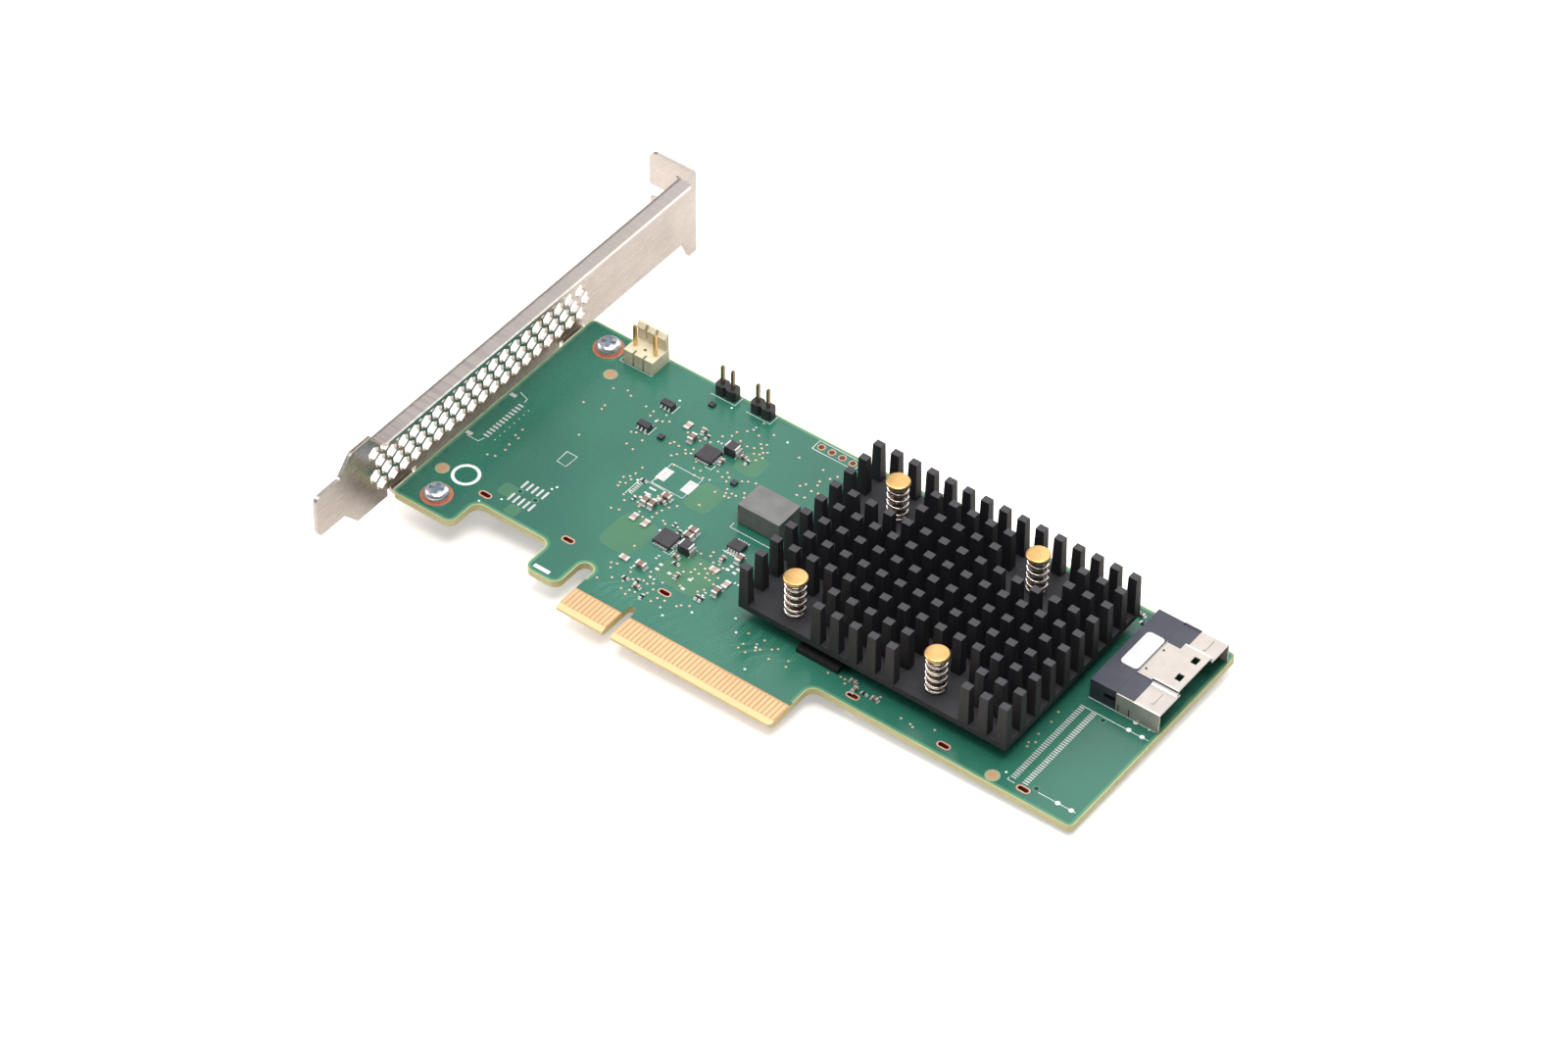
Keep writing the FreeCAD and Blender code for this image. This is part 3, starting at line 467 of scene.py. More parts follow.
# plated copper seen into the wire holes, darkened with painted shade
HOLE_BROWN_SHADE = Finish("plated_hole_shade", rgb(116, 50, 36), rgb(84, 34, 24), 0.5, 0.3, 1.0, 0.2, 0.1)
HOLE_COPPER = Finish("hole_copper", rgb(178, 74, 44), rgb(128, 48, 28), 0.45, 0.4, 1.0, 0.2, 0.1)
TAN_PAD = Finish("tented_copper", rgb(196, 160, 134), rgb(178, 140, 114), 0.45, 0.15, 1.0, 0.2, 0.05)
FLAT_CHIP = Finish("flat_resistor", rgb(186, 158, 146), rgb(166, 138, 128), 0.45, 0.0, 0.6, 0.1, 0.15)
HALO = Finish("target_halo", rgb(166, 160, 126), rgb(154, 148, 114), 0.5, 0.0, 1.0, 0.2, 0.05)
VIA_RING = Finish("via_ring", rgb(176, 150, 122), rgb(156, 130, 104), 0.4, 0.2, 1.0, 0.2, 0.05)
VIA_MIDDLE = Finish("via_middle", rgb(230, 224, 206), rgb(214, 204, 184), 0.35, 0.3, 1.0, 0.2, 0.05)
SOLDER = Finish("tinned_solder", rgb(218, 217, 215), rgb(194, 193, 191), 0.36, 0.4, 0.8, 0.12, 0.2)
PACKAGE = Finish("moulding_compound", rgb(58, 54, 60), rgb(42, 38, 44), 0.42, 0.0, 1.5, 0.08, 0.25)
# painted shade: the memory chip under the heatsink's edge drawn darker than the other packages
MEMORY_SHADE = Finish("shaded_memory_compound", rgb(26, 26, 28), rgb(18, 18, 20), 0.5, 0.0, 1.5, 0.08, 0.25)
FERRITE = Finish("pressed_powder", rgb(120, 120, 118), rgb(100, 100, 99), 0.5, 0.1, 3.0, 0.12, 0.35)
CONNECTOR = Finish("connector_nylon", rgb(64, 66, 80), rgb(50, 52, 64), 0.45, 0.0, 5.0, 0.12, 0.25)
SHELL = Finish("shell_nickel", rgb(196, 188, 182), rgb(184, 176, 170), 0.44, 0.5, 3.0, 0.2, 0.04,
               (1.0, 0.2, 1.0))
# painted shade along the shell's seams
SHELL_SEAM_SHADE = Finish("shell_seam_shade", rgb(168, 160, 154), rgb(156, 148, 142), 0.5, 0.2, 3.0, 0.2, 0.04)
# painted highlight on the shell's rolled edges
SHELL_FOLD_HIGHLIGHT = Finish("shell_fold_highlight", rgb(236, 233, 230), rgb(226, 223, 220), 0.35, 0.3, 3.0, 0.2, 0.04)
LABEL = Finish("blank_label", rgb(222, 222, 224), rgb(216, 216, 218), 0.6, 0.0, 4.0, 0.1, 0.04)
HEADER_BLACK = Finish("header_black", rgb(48, 48, 50), rgb(34, 34, 36), 0.45, 0.0, 1.5, 0.1, 0.25)
HEADER_IVORY = Finish("header_ivory", rgb(234, 224, 198), rgb(216, 203, 172), 0.5, 0.0, 2.0, 0.12, 0.2)
CERAMIC = Finish("capacitor_ceramic", rgb(140, 114, 98), rgb(108, 86, 72), 0.45, 0.0, 0.8, 0.1, 0.2)
RESISTOR = Finish("resistor_glaze", rgb(40, 38, 42), rgb(26, 24, 28), 0.4, 0.0, 0.6, 0.1, 0.2)
SUBSTRATE = Finish("package_substrate", rgb(44, 88, 60), rgb(34, 70, 48), 0.45, 0.0, 2.0, 0.2, 0.1)
LID = Finish("package_lid", rgb(190, 190, 192), rgb(164, 164, 168), 0.35, 0.8, 3.0, 0.2, 0.1)
THERMAL = Finish("thermal_pad", rgb(172, 176, 184), rgb(150, 154, 164), 0.8, 0.0, 2.0, 0.2, 0.4)
PRINT = Finish("white_print", rgb(236, 240, 236), rgb(214, 220, 214), 0.6, 0.0, 1.0, 0.1, 0.1)
# lighter mask band: partly the mask's pull-back from the copper, partly a painted highlight along the board's
# edge
RIM = Finish("rim_mask_and_highlight", rgb(104, 150, 110), rgb(92, 138, 102), 0.34, 0.0, 6.0, 0.3, 0.05)
RIM_INNER = Finish("rim_inner", rgb(66, 128, 102), rgb(58, 118, 94), 0.3, 0.0, 6.0, 0.3, 0.05)
RIM_EDGE = Finish("rim_laminate", rgb(196, 198, 150), rgb(180, 182, 134), 0.5, 0.0, 3.0, 0.2, 0.1)
OLIVE = Finish("bare_laminate_mask", rgb(66, 118, 88), rgb(58, 108, 80), 0.3, 0.0, 6.0, 0.4, 0.05)
TRACK = Finish("track_mask", rgb(66, 130, 106), rgb(58, 122, 98), 0.27, 0.0, 6.0, 0.4, 0.05)
DARK_HOLE = Finish("hole_shadow", rgb(26, 30, 26), rgb(16, 20, 18), 0.7, 0.0, 1.0, 0.2, 0.1)
# painted shade in the shell's gaps, dimples and side slots
SHELL_GAP_SHADE = Finish("shell_gap_shade", rgb(96, 76, 70), rgb(80, 62, 58), 0.6, 0.0, 1.0, 0.2, 0.1)


class Palette:
    """Builds each finish once."""

    def __init__(self) -> None:
        """Nothing is built yet."""
        self._made: dict[str, bpy.types.Material] = {}

    def __getitem__(self, finish: object) -> bpy.types.Material:
        """The material of a finish.

        Args:
            finish: one of the finishes above.
        Returns:
            Its material, built at the first call.
        """
        if finish.name not in self._made:
            self._made[finish.name] = finish.material()
        return self._made[finish.name]


class Workshop:
    """Makes mesh pieces, hands them to the frame and logs them."""

    def __init__(self, frame: Mapping) -> None:
        """Keep the frame's nodes at hand."""
        self.nodes: Mapping[str, bpy.types.Object] = frame["nodes"]
        self.palette = Palette()

    def piece(self, name: str, mesh: bpy.types.Mesh, finish: object, slot: str) -> bpy.types.Object:
        """Adds a finished mesh to the card.

        Args:
            name: the piece's name.
            mesh: its mesh, in metres and in place.
            finish: the finish of its whole surface.
            slot: a name of one of the record's material slots; not used.
        Returns:
            The new object, riding on the card.
        """
        mesh.name = name
        made = new_object(name, mesh)
        mesh.materials.clear()
        mesh.materials.append(self.palette[finish])
        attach(made, "root")
        LOG.info("%s: %d faces", name, len(mesh.polygons))
        return made

    def dress(self, node: str, finish: object) -> None:
        """Gives a frame node its finish.

        Args:
            node: the node's name.
            finish: the finish of its whole surface.
        """
        thing = self.nodes[node]
        if not thing.data.materials:
            thing.data.materials.append(None)
        for slot in thing.material_slots:
            slot.link = "OBJECT"
            slot.material = self.palette[finish]
        LOG.info("%s: finish %s", node, finish.name)

    def islands(self, node: str) -> list[Box]:
        """Lowest and highest corner, in mm, of each separate solid of a node.

        Args:
            node: the node's name.
        Returns:
            One pair of corners for each solid.
        """
        points = [v.co for v in self.nodes[node].data.vertices]
        index: dict[tuple, int] = {}
        parent: list[int] = []

        def find(i: int) -> int:
            """Root of one point's group.

            Args:
                i: number of a merged point.
            Returns:
                The root's number.
            """
            while parent[i] != i:
                parent[i] = parent[parent[i]]
                i = parent[i]
            return i

        merged = []
        for p in points:
            key = tuple(round(c * 1e6) for c in p)
            if key not in index:
                index[key] = len(parent)
                parent.append(len(parent))
            merged.append(index[key])
        for polygon in self.nodes[node].data.polygons:
            ids = [find(merged[i]) for i in polygon.vertices]
            for other in ids[1:]:
                parent[other] = ids[0]
        groups: dict[int, list[Vector]] = {}
        for i, p in zip(merged, points):
            groups.setdefault(find(i), []).append(p)
        return [(Vector(min(p[a] for p in g) for a in range(3)) / MM,
                 Vector(max(p[a] for p in g) for a in range(3)) / MM) for g in groups.values()]

    def solids(self, nodes: Iterable[str]) -> list[Box]:
        """The boxes of every separate solid of several nodes."""
        return [box for node in nodes for box in self.islands(node)]


def centre_of(solid: Box) -> Point:
    """Middle of a solid's box in plan, in mm."""
    low, high = solid
    return (low.x + high.x) / 2, (low.y + high.y) / 2


def covered(x: float, y: float, solids: Iterable[Box], margin: float) -> bool:
    """Whether a place is on one of the solids, or nearer to one than a margin in mm."""
    return any(low.x - margin < x < high.x + margin and low.y - margin < y < high.y + margin
               for low, high in solids)


def mesh_from(build: bmesh.types.BMesh) -> bpy.types.Mesh:
    """Turns a bmesh in mm into a mesh in metres, with its faces turned outwards.

    Args:
        build: the faces, in mm; it is freed.
    Returns:
        The mesh, in metres.
    """
    bmesh.ops.recalc_face_normals(build, faces=build.faces)
    bmesh.ops.scale(build, vec=(MM, MM, MM), verts=build.verts)
    mesh = bpy.data.meshes.new("mesh")
    build.to_mesh(mesh)
    build.free()
    return mesh


def add_sides(build: bmesh.types.BMesh, first: Sequence, second: Sequence, closed: bool = True) -> None:
    """Joins two rows of as many points with a strip of faces, round to its start when closed.

    Args:
        build: where the faces go.
        first: one row of points.
        second: the other row.
        closed: whether the last points are joined to the first.
    """
    n = len(first)
    for i in range(n if closed else n - 1):
        j = (i + 1) % n
        build.faces.new((first[i], first[j], second[j], second[i]))


def add_slab(build: bmesh.types.BMesh, outline: Sequence[Point], low: float, high: float) -> None:
    """Adds a flat prism over an outline, in mm.

    Args:
        build: where it goes.
        outline: its outline, anticlockwise.
        low: height of its underside.
        high: height of its top.
    """
    lower = [build.verts.new((x, y, low)) for x, y in outline]
    upper = [build.verts.new((x, y, high)) for x, y in outline]
    build.faces.new(lower[::-1])
    build.faces.new(upper)
    add_sides(build, lower, upper)


def add_box(build: bmesh.types.BMesh, low: Sequence[float], high: Sequence[float]) -> None:
    """Adds a box between two corners, in mm."""
    (x0, y0, z0), (x1, y1, z1) = low, high
    add_slab(build, ((x0, y0), (x1, y0), (x1, y1), (x0, y1)), z0, z1)


def add_ring(build: bmesh.types.BMesh, inner: Sequence[Point], outer: Sequence[Point], low: float,
             high: float) -> None:
    """Adds a closed band between two outlines of as many points each, in mm.

    Args:
        build: where it goes.
        inner: the inner outline.
        outer: the outer outline.
        low: height of its underside.
        high: height of its top.
    """
    rows = [[build.verts.new((x, y, z)) for x, y in line]
            for line, z in ((inner, low), (outer, low), (outer, high), (inner, high))]
    for a, b in zip(rows, rows[1:] + rows[:1]):
        add_sides(build, a, b)


def add_lathe(build: bmesh.types.BMesh, profile: Sequence[Point], centre: Point, steps: int = 48) -> None:
    """Adds a turned solid about an upright line through `centre`.

    Args:
        build: where it goes.
        profile: radius and height pairs from the foot's axis to the top's axis, in mm.
        centre: place of the axis, in mm.
        steps: sides of the turned form.
    """
    rows: list[list[bmesh.types.BMVert]] = []
    for r, z in profile:
        ring = disc(*centre, r, steps) if r > 0.0 else [centre]
        rows.append([build.verts.new((x, y, z)) for x, y in ring])
    for a, b in zip(rows, rows[1:]):
        if len(a) == len(b):
            add_sides(build, a, b)
            continue
        for k in range(steps):
            j = (k + 1) % steps
            build.faces.new((a[0], b[j], b[k]) if len(a) == 1 else (a[k], a[j], b[0]))


def oval(x: float, y: float, length: float, width: float, steps: int = 8) -> list[Point]:
    """Outline of a round-ended slot along X, in mm.

    Args:
        x: X of the slot's middle.
        y: Y of the slot's middle.
        length: size along X.
        width: size along Y.
        steps: sides of each round end.
    Returns:
        Points round the slot.
    """
    half, r = (length - width) / 2, width / 2
    points = []
    for centre, start in ((half, -0.5), (-half, 0.5)):
        for k in range(steps + 1):
            a = math.pi * (start + k / steps)
            points.append((x + centre + r * math.cos(a), y + r * math.sin(a)))
    return points


def disc(x: float, y: float, r: float, steps: int = 32) -> list[Point]:
    """Outline of a disc, in mm."""
    return [(x + r * math.cos(2 * math.pi * k / steps), y + r * math.sin(2 * math.pi * k / steps))
            for k in range(steps)]


def add_discs(build: bmesh.types.BMesh, places: Iterable[Point], r: float, low: float, high: float,
              steps: int = 32) -> None:
    """Adds a flat disc at each place, in mm."""
    for x, y in places:
        add_slab(build, disc(x, y, r, steps), low, high)


def smooth(mesh: bpy.types.Mesh, degrees: float = 40.0) -> bpy.types.Mesh:
    """Shades a mesh smooth, keeping edges sharper than an angle.

    Args:
        mesh: the mesh to shade.
        degrees: the angle.
    Returns:
        The same mesh.
    """
    mesh.shade_smooth()
    mesh.set_sharp_from_angle(angle=math.radians(degrees))
    return mesh


class GeometryTree(Graph):
    """A Geometry Nodes tree with named inputs, run once to give a plain mesh."""

    def __init__(self, name: str) -> None:
        """Start an empty tree that takes and gives geometry.

        Args:
            name: the tree's name.
        """
        tree = bpy.data.node_groups.new(name, "GeometryNodeTree")
        super().__init__(tree)
        self.values: dict[str, object] = {}
        tree.interface.new_socket("Geometry", in_out="INPUT", socket_type="NodeSocketGeometry")
        tree.interface.new_socket("Geometry", in_out="OUTPUT", socket_type="NodeSocketGeometry")
        self.source = self.node("NodeGroupInput")
        self.sink = self.node("NodeGroupOutput")

    def size(self, name: str, value: float, kind: str = "NodeSocketFloat") -> Signal:
        """A named input and its value for this run.

        Args:
            name: the input's name.
            value: what this run feeds it.
            kind: Blender's name of the socket's type.
        Returns:
            The input, as a signal inside the tree.
        """
        self.tree.interface.new_socket(name, in_out="INPUT", socket_type=kind)
        self.values[name] = value
        return Signal(self, self.source.outputs[name])

    def geometry(self) -> Signal:
        """The mesh that the tree is given."""
        return Signal(self, self.source.outputs[0])

    def close(self, geometry: object, material: bpy.types.Material) -> None:
        """Ends the tree in Realize Instances and Set Material.

        Args:
            geometry: the finished geometry.
            material: the finish of all of it.
        """
        real = self.signal("GeometryNodeRealizeInstances", 0, sockets={0: geometry})
        painted = self.signal("GeometryNodeSetMaterial", 0, sockets={0: real, "Material": material})
        self.tree.links.new(painted.socket, self.sink.inputs[0])

    def run(self, mesh: bpy.types.Mesh) -> bpy.types.Mesh:
        """Runs the tree on a mesh and returns the result as a plain mesh.

        Args:
            mesh: what the tree is given.
        Returns:
            The result, without a modifier.
        """
        carrier = new_object("carrier", mesh)
        modifier = carrier.modifiers.new("nodes", "NODES")
        modifier.node_group = self.tree
        for item in self.tree.interface.items_tree:
            if item.in_out == "INPUT" and item.name in self.values:
                modifier[item.identifier] = self.values[item.name]
        seen = carrier.evaluated_get(bpy.context.evaluated_depsgraph_get())
        result = bpy.data.meshes.new_from_object(seen)
        carrier.modifiers.clear()
        bpy.data.objects.remove(carrier)
        return result


def line_mesh(lines: Iterable[Line]) -> bpy.types.Mesh:
    """A mesh of loose edges along lines of points in mm; a single point gives a loose vertex.

    Args:
        lines: the points of each line.
    Returns:
        The mesh, in metres.
    """
    points, edges = [], []
    for line in lines:
        first = len(points)
        points += [tuple(c * MM for c in p) for p in line]
        edges += [(i, i + 1) for i in range(first, len(points) - 1)]
    mesh = bpy.data.meshes.new("lines")
    mesh.from_pydata(points, edges, [])
    return mesh


@dataclass
class Ribbon:
    """Flat strips of one width that follow lines on the board, such as print or tracks."""

    width: float
    height: float = 0.02

    def mesh(self, lines: Iterable[Line], material: bpy.types.Material) -> bpy.types.Mesh:
        """Makes the strips.

        Args:
            lines: points of each strip's middle, in mm.
            material: the finish that the tree sets.
        Returns:
            The strips as one plain mesh.
        """
        tree = GeometryTree("ribbon")
        width = tree.size("Width", self.width * MM)
        height = tree.size("Height", self.height * MM)
        curve = tree.signal("GeometryNodeMeshToCurve", 0, sockets={0: tree.geometry()})
        upright = tree.signal("GeometryNodeSetCurveNormal", 0, {"mode": "Z_UP"}, {0: curve})
        profile = tree.signal("GeometryNodeCurvePrimitiveQuadrilateral", 0, {"mode": "RECTANGLE"},
                              {"Width": width, "Height": height})
        strip = tree.signal("GeometryNodeCurveToMesh", 0, sockets={0: upright, 1: profile, "Fill Caps": True})
        tree.close(strip, material)
        return tree.run(line_mesh(lines))


@dataclass
class Dots:
    """Small upright discs at points on the board, such as vias."""

    radius: float
    height: float = 0.02
    sides: int = 12

    def mesh(self, places: Iterable[Sequence[float]], material: bpy.types.Material) -> bpy.types.Mesh:
        """Makes a disc at each place.

        Args:
            places: centres of the discs, in mm.
            material: the finish that the tree sets.
        Returns:
            The discs as one plain mesh.
        """
        tree = GeometryTree("dots")
        radius = tree.size("Radius", self.radius * MM)
        height = tree.size("Height", self.height * MM)
        sides = tree.size("Sides", self.sides, "NodeSocketInt")
        points = tree.signal("GeometryNodeMeshToPoints", 0, sockets={0: tree.geometry()})
        one = tree.signal("GeometryNodeMeshCylinder", 0, {"fill_type": "NGON"},
                          {"Vertices": sides, "Radius": radius, "Depth": height})
        placed = tree.signal("GeometryNodeInstanceOnPoints", 0, sockets={0: points, "Instance": one})
        tree.close(placed, material)
        return tree.run(line_mesh([[p] for p in places]))


@dataclass
class PadRow:
    """Equal flat pads at even steps along a line."""

    start: Point
    end: Point
    count: int
    size: tuple[float, float]
    height: float = 0.03
    base: float = 0.0

    def mesh(self, material: bpy.types.Material) -> bpy.types.Mesh:
        """Makes the row as one plain mesh.

        Args:
            material: the finish that the tree sets.
        Returns:
            The pads, each a thin block.
        """
        tree = GeometryTree("pad_row")
        count = tree.size("Count", self.count, "NodeSocketInt")
        width = tree.size("Width", self.size[0] * MM)
        length = tree.size("Length", self.size[1] * MM)
        height = tree.size("Height", self.height * MM)
        z = (self.base + self.height / 2) * MM
        first = (self.start[0] * MM, self.start[1] * MM, z)
        last = (self.end[0] * MM, self.end[1] * MM, z)
        line = tree.signal("GeometryNodeMeshLine", 0, {"mode": "END_POINTS"},
                           {"Count": count, "Start Location": first, "Offset": last})
        block_size = tree.signal("ShaderNodeCombineXYZ", 0, sockets={0: width, 1: length, 2: height})
        block = tree.signal("GeometryNodeMeshCube", 0, sockets={"Size": block_size})
        placed = tree.signal("GeometryNodeInstanceOnPoints", 0, sockets={0: line, "Instance": block})
        tree.close(placed, material)
        return tree.run(line_mesh([[(0.0, 0.0, 0.0)]]))


@dataclass
class CoilSpring:
    """Compression spring with closed ends, about an upright line."""

    radius: float
    wire: float
    turns: float
    low: float
    high: float

    def mesh(self, material: bpy.types.Material) -> bpy.types.Mesh:
        """Makes one spring at the origin.

        Args:
            material: the finish that the tree sets.
        Returns:
            The coil as a plain mesh.
        """
        tree = GeometryTree("coil_spring")
        turns = tree.size("Turns", self.turns)
        radius = tree.size("Radius", self.radius * MM)
        wire = tree.size("Wire radius", self.wire * MM)
        height = tree.size("Height", (self.high - self.low - 2 * self.wire) * MM)
        helix = tree.signal("GeometryNodeCurveSpiral", 0, sockets={
            "Resolution": 28, "Rotations": turns, "Start Radius": radius, "End Radius": radius,
            "Height": height})
        along = tree.signal("GeometryNodeSplineParameter", "Factor")
        place = tree.signal("GeometryNodeInputPosition", 0)
        split = tree.node("ShaderNodeSeparateXYZ", sockets={0: place})
        eased = along.span(0.1, 0.9)
        closed = along * 0.14 + eased * 0.86
        moved = tree.signal("ShaderNodeCombineXYZ", 0, sockets={0: split.outputs[0], 1: split.outputs[1],
                                                               2: closed * height})
        set_up = tree.signal("GeometryNodeSetPosition", 0, sockets={0: helix, "Position": moved})
        section = tree.signal("GeometryNodeCurvePrimitiveCircle", 0,
                              sockets={"Resolution": 10, "Radius": wire})
        pipe = tree.signal("GeometryNodeCurveToMesh", 0, sockets={0: set_up, 1: section, "Fill Caps": True})
        tree.close(pipe, material)
        made = tree.run(line_mesh([[(0.0, 0.0, 0.0)]]))
        made.transform(Matrix.Translation((0, 0, (self.low + self.wire) * MM)))
        return made


def joined(meshes: Iterable[bpy.types.Mesh]) -> bpy.types.Mesh:
    """Several meshes as one.

    Args:
        meshes: the meshes, which stay as they are.
    Returns:
        A new mesh with the faces of all.
    """
    build = bmesh.new()
    for mesh in meshes:
        build.from_mesh(mesh)
    result = bpy.data.meshes.new("joined")
    build.to_mesh(result)
    build.free()
    return result


def rounded_path(corners: Sequence[Corner], steps: int = 7) -> list[tuple[Vector, Vector]]:
    """Points along an open path with rounded corners, each with the direction to its left.

    Args:
        corners: x, y and radius of each corner, in mm.
        steps: points on each rounded corner, less one.
    Returns:
        Pairs of a point and a unit vector to the left of the path.
    """
    places = [Vector(c[:2]) for c in corners]
    path = []
    for i, (point, corner) in enumerate(zip(places, corners)):
        if i in (0, len(places) - 1):
            way = (places[1] - places[0]) if i == 0 else (places[-1] - places[-2])
            way.normalize()
            path.append((point, Vector((-way.y, way.x))))
            continue
        before, after = (places[i - 1] - point).normalized(), (places[i + 1] - point).normalized()
        half = before.angle(after) / 2
        r = corner[2]
        reach = r / math.tan(half)
        centre = point + (before + after).normalized() * (r / math.sin(half))
        start, end = point + before * reach, point + after * reach
        a0 = math.atan2(start.y - centre.y, start.x - centre.x)
        turn = (math.atan2(end.y - centre.y, end.x - centre.x) - a0 + math.pi) % (2 * math.pi) - math.pi
        sign = 1 if turn > 0 else -1
        for k in range(steps + 1):
            a = a0 + turn * k / steps
            outward = Vector((math.cos(a), math.sin(a)))
            path.append((centre + outward * r, -outward * sign))
    return path


@dataclass
class BoardFace:
    """Mask rim, print, copper and solder on the two faces of the laminate."""

    shop: Workshop
    outline: Sequence[Corner] = (
        (-12.15, 9.0, 0.0), (-12.15, 12.7, 1.71), (-15.6, 12.7, 1.71), (-15.6, 4.4, 2.0),
        (-23.8, 4.4, 2.0), (-23.8, 12.7, 2.0), (-42.3, 12.7, 2.0), (-42.3, 5.0, 2.0),
        (-57.3, 5.0, 1.2), (-57.3, 68.1, 1.2), (98.35, 68.1, 1.2), (98.35, 12.7, 1.2),
        (39.15, 12.7, 2.0), (39.15, 7.0, 0.0))
    slots: Sequence[float] = (-42.1, -21.4, 2.2, 46.95, 67.9, 85.95)
    slot_y: float = 15.3
    slot_l: float = 2.4
    slot_w: float = 1.0
    rim_w: float = 0.3
    plating_t: float = 0.03
    wire_r: tuple[float, float] = (0.6, 0.88)
    screw_r: tuple[float, float] = (1.62, 3.3)
    target_r: tuple[float, float] = (0.75, 1.5)
    locating_r: tuple[float, float] = (0.42, 0.8)
    bare_pad: tuple[float, float, float] = (0.42, 0.3, 0.035)
    screws: Sequence[Point] = ((-49.7, 9.6), (-49.4, 63.2))
    targets: Sequence[Point] = ((-53.56, 15.96), (-44.23, 57.24), (79.45, 14.68))
    wire_holes: Sequence[Point] = tuple((1.95 + 2.54 * i, 66.0) for i in range(4))
    locating_holes: Sequence[Point] = ((-37.3, 20.1), (-33.4, 20.0), (87.8, 16.9), (87.8, 38.6))
    bare_pads: Sequence[Point] = (
        (-3.0, 20.9), (-2.9, 19.5), (3.9, 21.0), (4.3, 18.3), (-0.3, 20.0), (8.1, 28.8),
        (8.0, 27.6), (9.6, 28.8), (9.6, 27.6))
    test_points: Sequence[Point] = (
        (-32.8, 24.4), (-32.3, 25.4), (-38.8, 16.2), (-42.0, 13.2), (-28.5, 59.6), (-28.6, 52.0),
        (-19.0, 64.2), (-4.2, 63.0), (-21.1, 36.6), (-14.7, 35.0), (-9.0, 28.2), (-6.9, 17.4),
        (5.6, 10.3), (9.6, 14.3), (17.2, 18.1), (19.5, 15.2), (24.9, 14.3), (26.7, 8.5),
        (81.0, 16.9), (96.0, 41.9))
    corner_dots: Sequence[Point] = ((93.0, 16.3), (96.0, 16.3), (93.0, 39.5), (96.0, 39.5), (93.0, 41.9))
    patches: Sequence[tuple[float, float, float, float]] = (
        (-17.5, 18.5, -9.0, 29.0), (-10.5, 36.5, -4.5, 44.5), (-9.0, 50.5, -3.0, 56.5),
        (-3.0, 17.2, 8.0, 27.0), (-41.2, 17.3, -37.8, 20.7), (-36.7, 13.7, -33.7, 16.7))
    via_fields: Sequence[tuple[float, float, float, float, int]] = (
        (-16.0, 32.0, 8.0, 8.0, 46), (-3.0, 14.0, 10.0, 5.0, 58), (5.0, 25.0, 6.0, 6.0, 40),
        (-17.0, 50.0, 7.0, 7.0, 40), (-29.0, 50.0, 4.5, 8.0, 20), (-8.0, 58.0, 8.0, 7.0, 26),
        (8.0, 58.0, 7.0, 7.0, 22), (-22.5, 36.0, 3.0, 4.0, 14), (26.0, 14.0, 6.0, 4.0, 16),
        (46.0, 17.5, 6.0, 1.6, 12), (60.0, 16.5, 6.0, 1.6, 5), (80.2, 32.0, 1.0, 12.0, 8),
        (-38.0, 50.0, 9.0, 12.0, 8), (-47.5, 31.0, 2.0, 6.0, 9), (78.5, 60.0, 1.6, 7.0, 8),
        (-6.0, 46.0, 7.0, 5.0, 22), (31.0, 62.0, 3.0, 2.0, 4))

    def band(self, near: float, far: float, side: Side) -> bpy.types.Mesh:
        """A flat band that follows the board's edge between two distances from it.

        Args:
            near: distance of its outer line, in mm.
            far: distance of its inner line, in mm.
            side: the face that it lies on.
        Returns:
            The band's mesh.
        """
        path = rounded_path(self.outline)
        low, high = sorted((side.height(0.0), side.height(RIM_T)))
        build = bmesh.new()
        rows = [[build.verts.new((*(p - left * d), z)) for p, left in path]
                for d, z in ((near, low), (far, low), (far, high), (near, high))]
        for a, b in zip(rows, rows[1:] + rows[:1]):
            add_sides(build, a, b, closed=False)
        for end in (0, -1):
            build.faces.new([row[end] for row in rows])
        return mesh_from(build)

    def rims(self) -> None:
        """Lighter mask where the copper is pulled back, partly a painted highlight along the board's edge,
        and the scored edge outside it.
        """
        bands = (("edge", 0.0, 0.16, RIM_EDGE), ("mask", 0.16, 0.48, RIM), ("inner", 0.48, 0.85, RIM_INNER))
        for side in Side:
            for part, near, far, finish in bands:
                name = f"rim_{part}_{side.name.lower()}"
                self.shop.piece(name, self.band(near, far, side), finish, "laminate")

    def plating(self) -> None:
        """Copper round the slots, screws and wire holes, and down the slots' walls."""
        rims, slots, walls, rings, holes = (bmesh.new() for _ in range(5))
        length, width, y_slot = self.slot_l, self.slot_w, self.slot_y
        for side in Side:
            low, high = sorted((side.height(0.0), side.height(self.plating_t)))
            for x in self.slots:
                outer = oval(x, y_slot, length + 2 * self.rim_w, width + 2 * self.rim_w)
                add_ring(slots, oval(x, y_slot, length, width), outer, low, high)
            for x, y in self.wire_holes:
                add_ring(rims, *(disc(x, y, r) for r in self.wire_r), low, high)
            # discs over the wire holes: plated copper darkened with painted shade
            add_discs(holes, self.wire_holes, self.wire_r[0] + 0.01, low, high)
            for x, y in self.screws:
                add_ring(rings, *(disc(x, y, r) for r in self.screw_r), low, high)
        for x in self.slots:
            inner = oval(x, y_slot, length - 0.1, width - 0.1)
            add_ring(walls, inner, oval(x, y_slot, length + 0.02, width + 0.02), -BOARD_T, 0.0)
        self.shop.piece("slot_rims", mesh_from(slots), SLOT_PAD, "gold")
        self.shop.piece("wire_hole_rims", mesh_from(rims), TAN_PAD, "gold")
        self.shop.piece("wire_holes", mesh_from(holes), HOLE_BROWN_SHADE, "gold")
        self.shop.piece("slot_walls", mesh_from(walls), HOLE_COPPER, "gold")
        self.shop.piece("screw_rings", mesh_from(rings), SCREW_PAD, "gold")

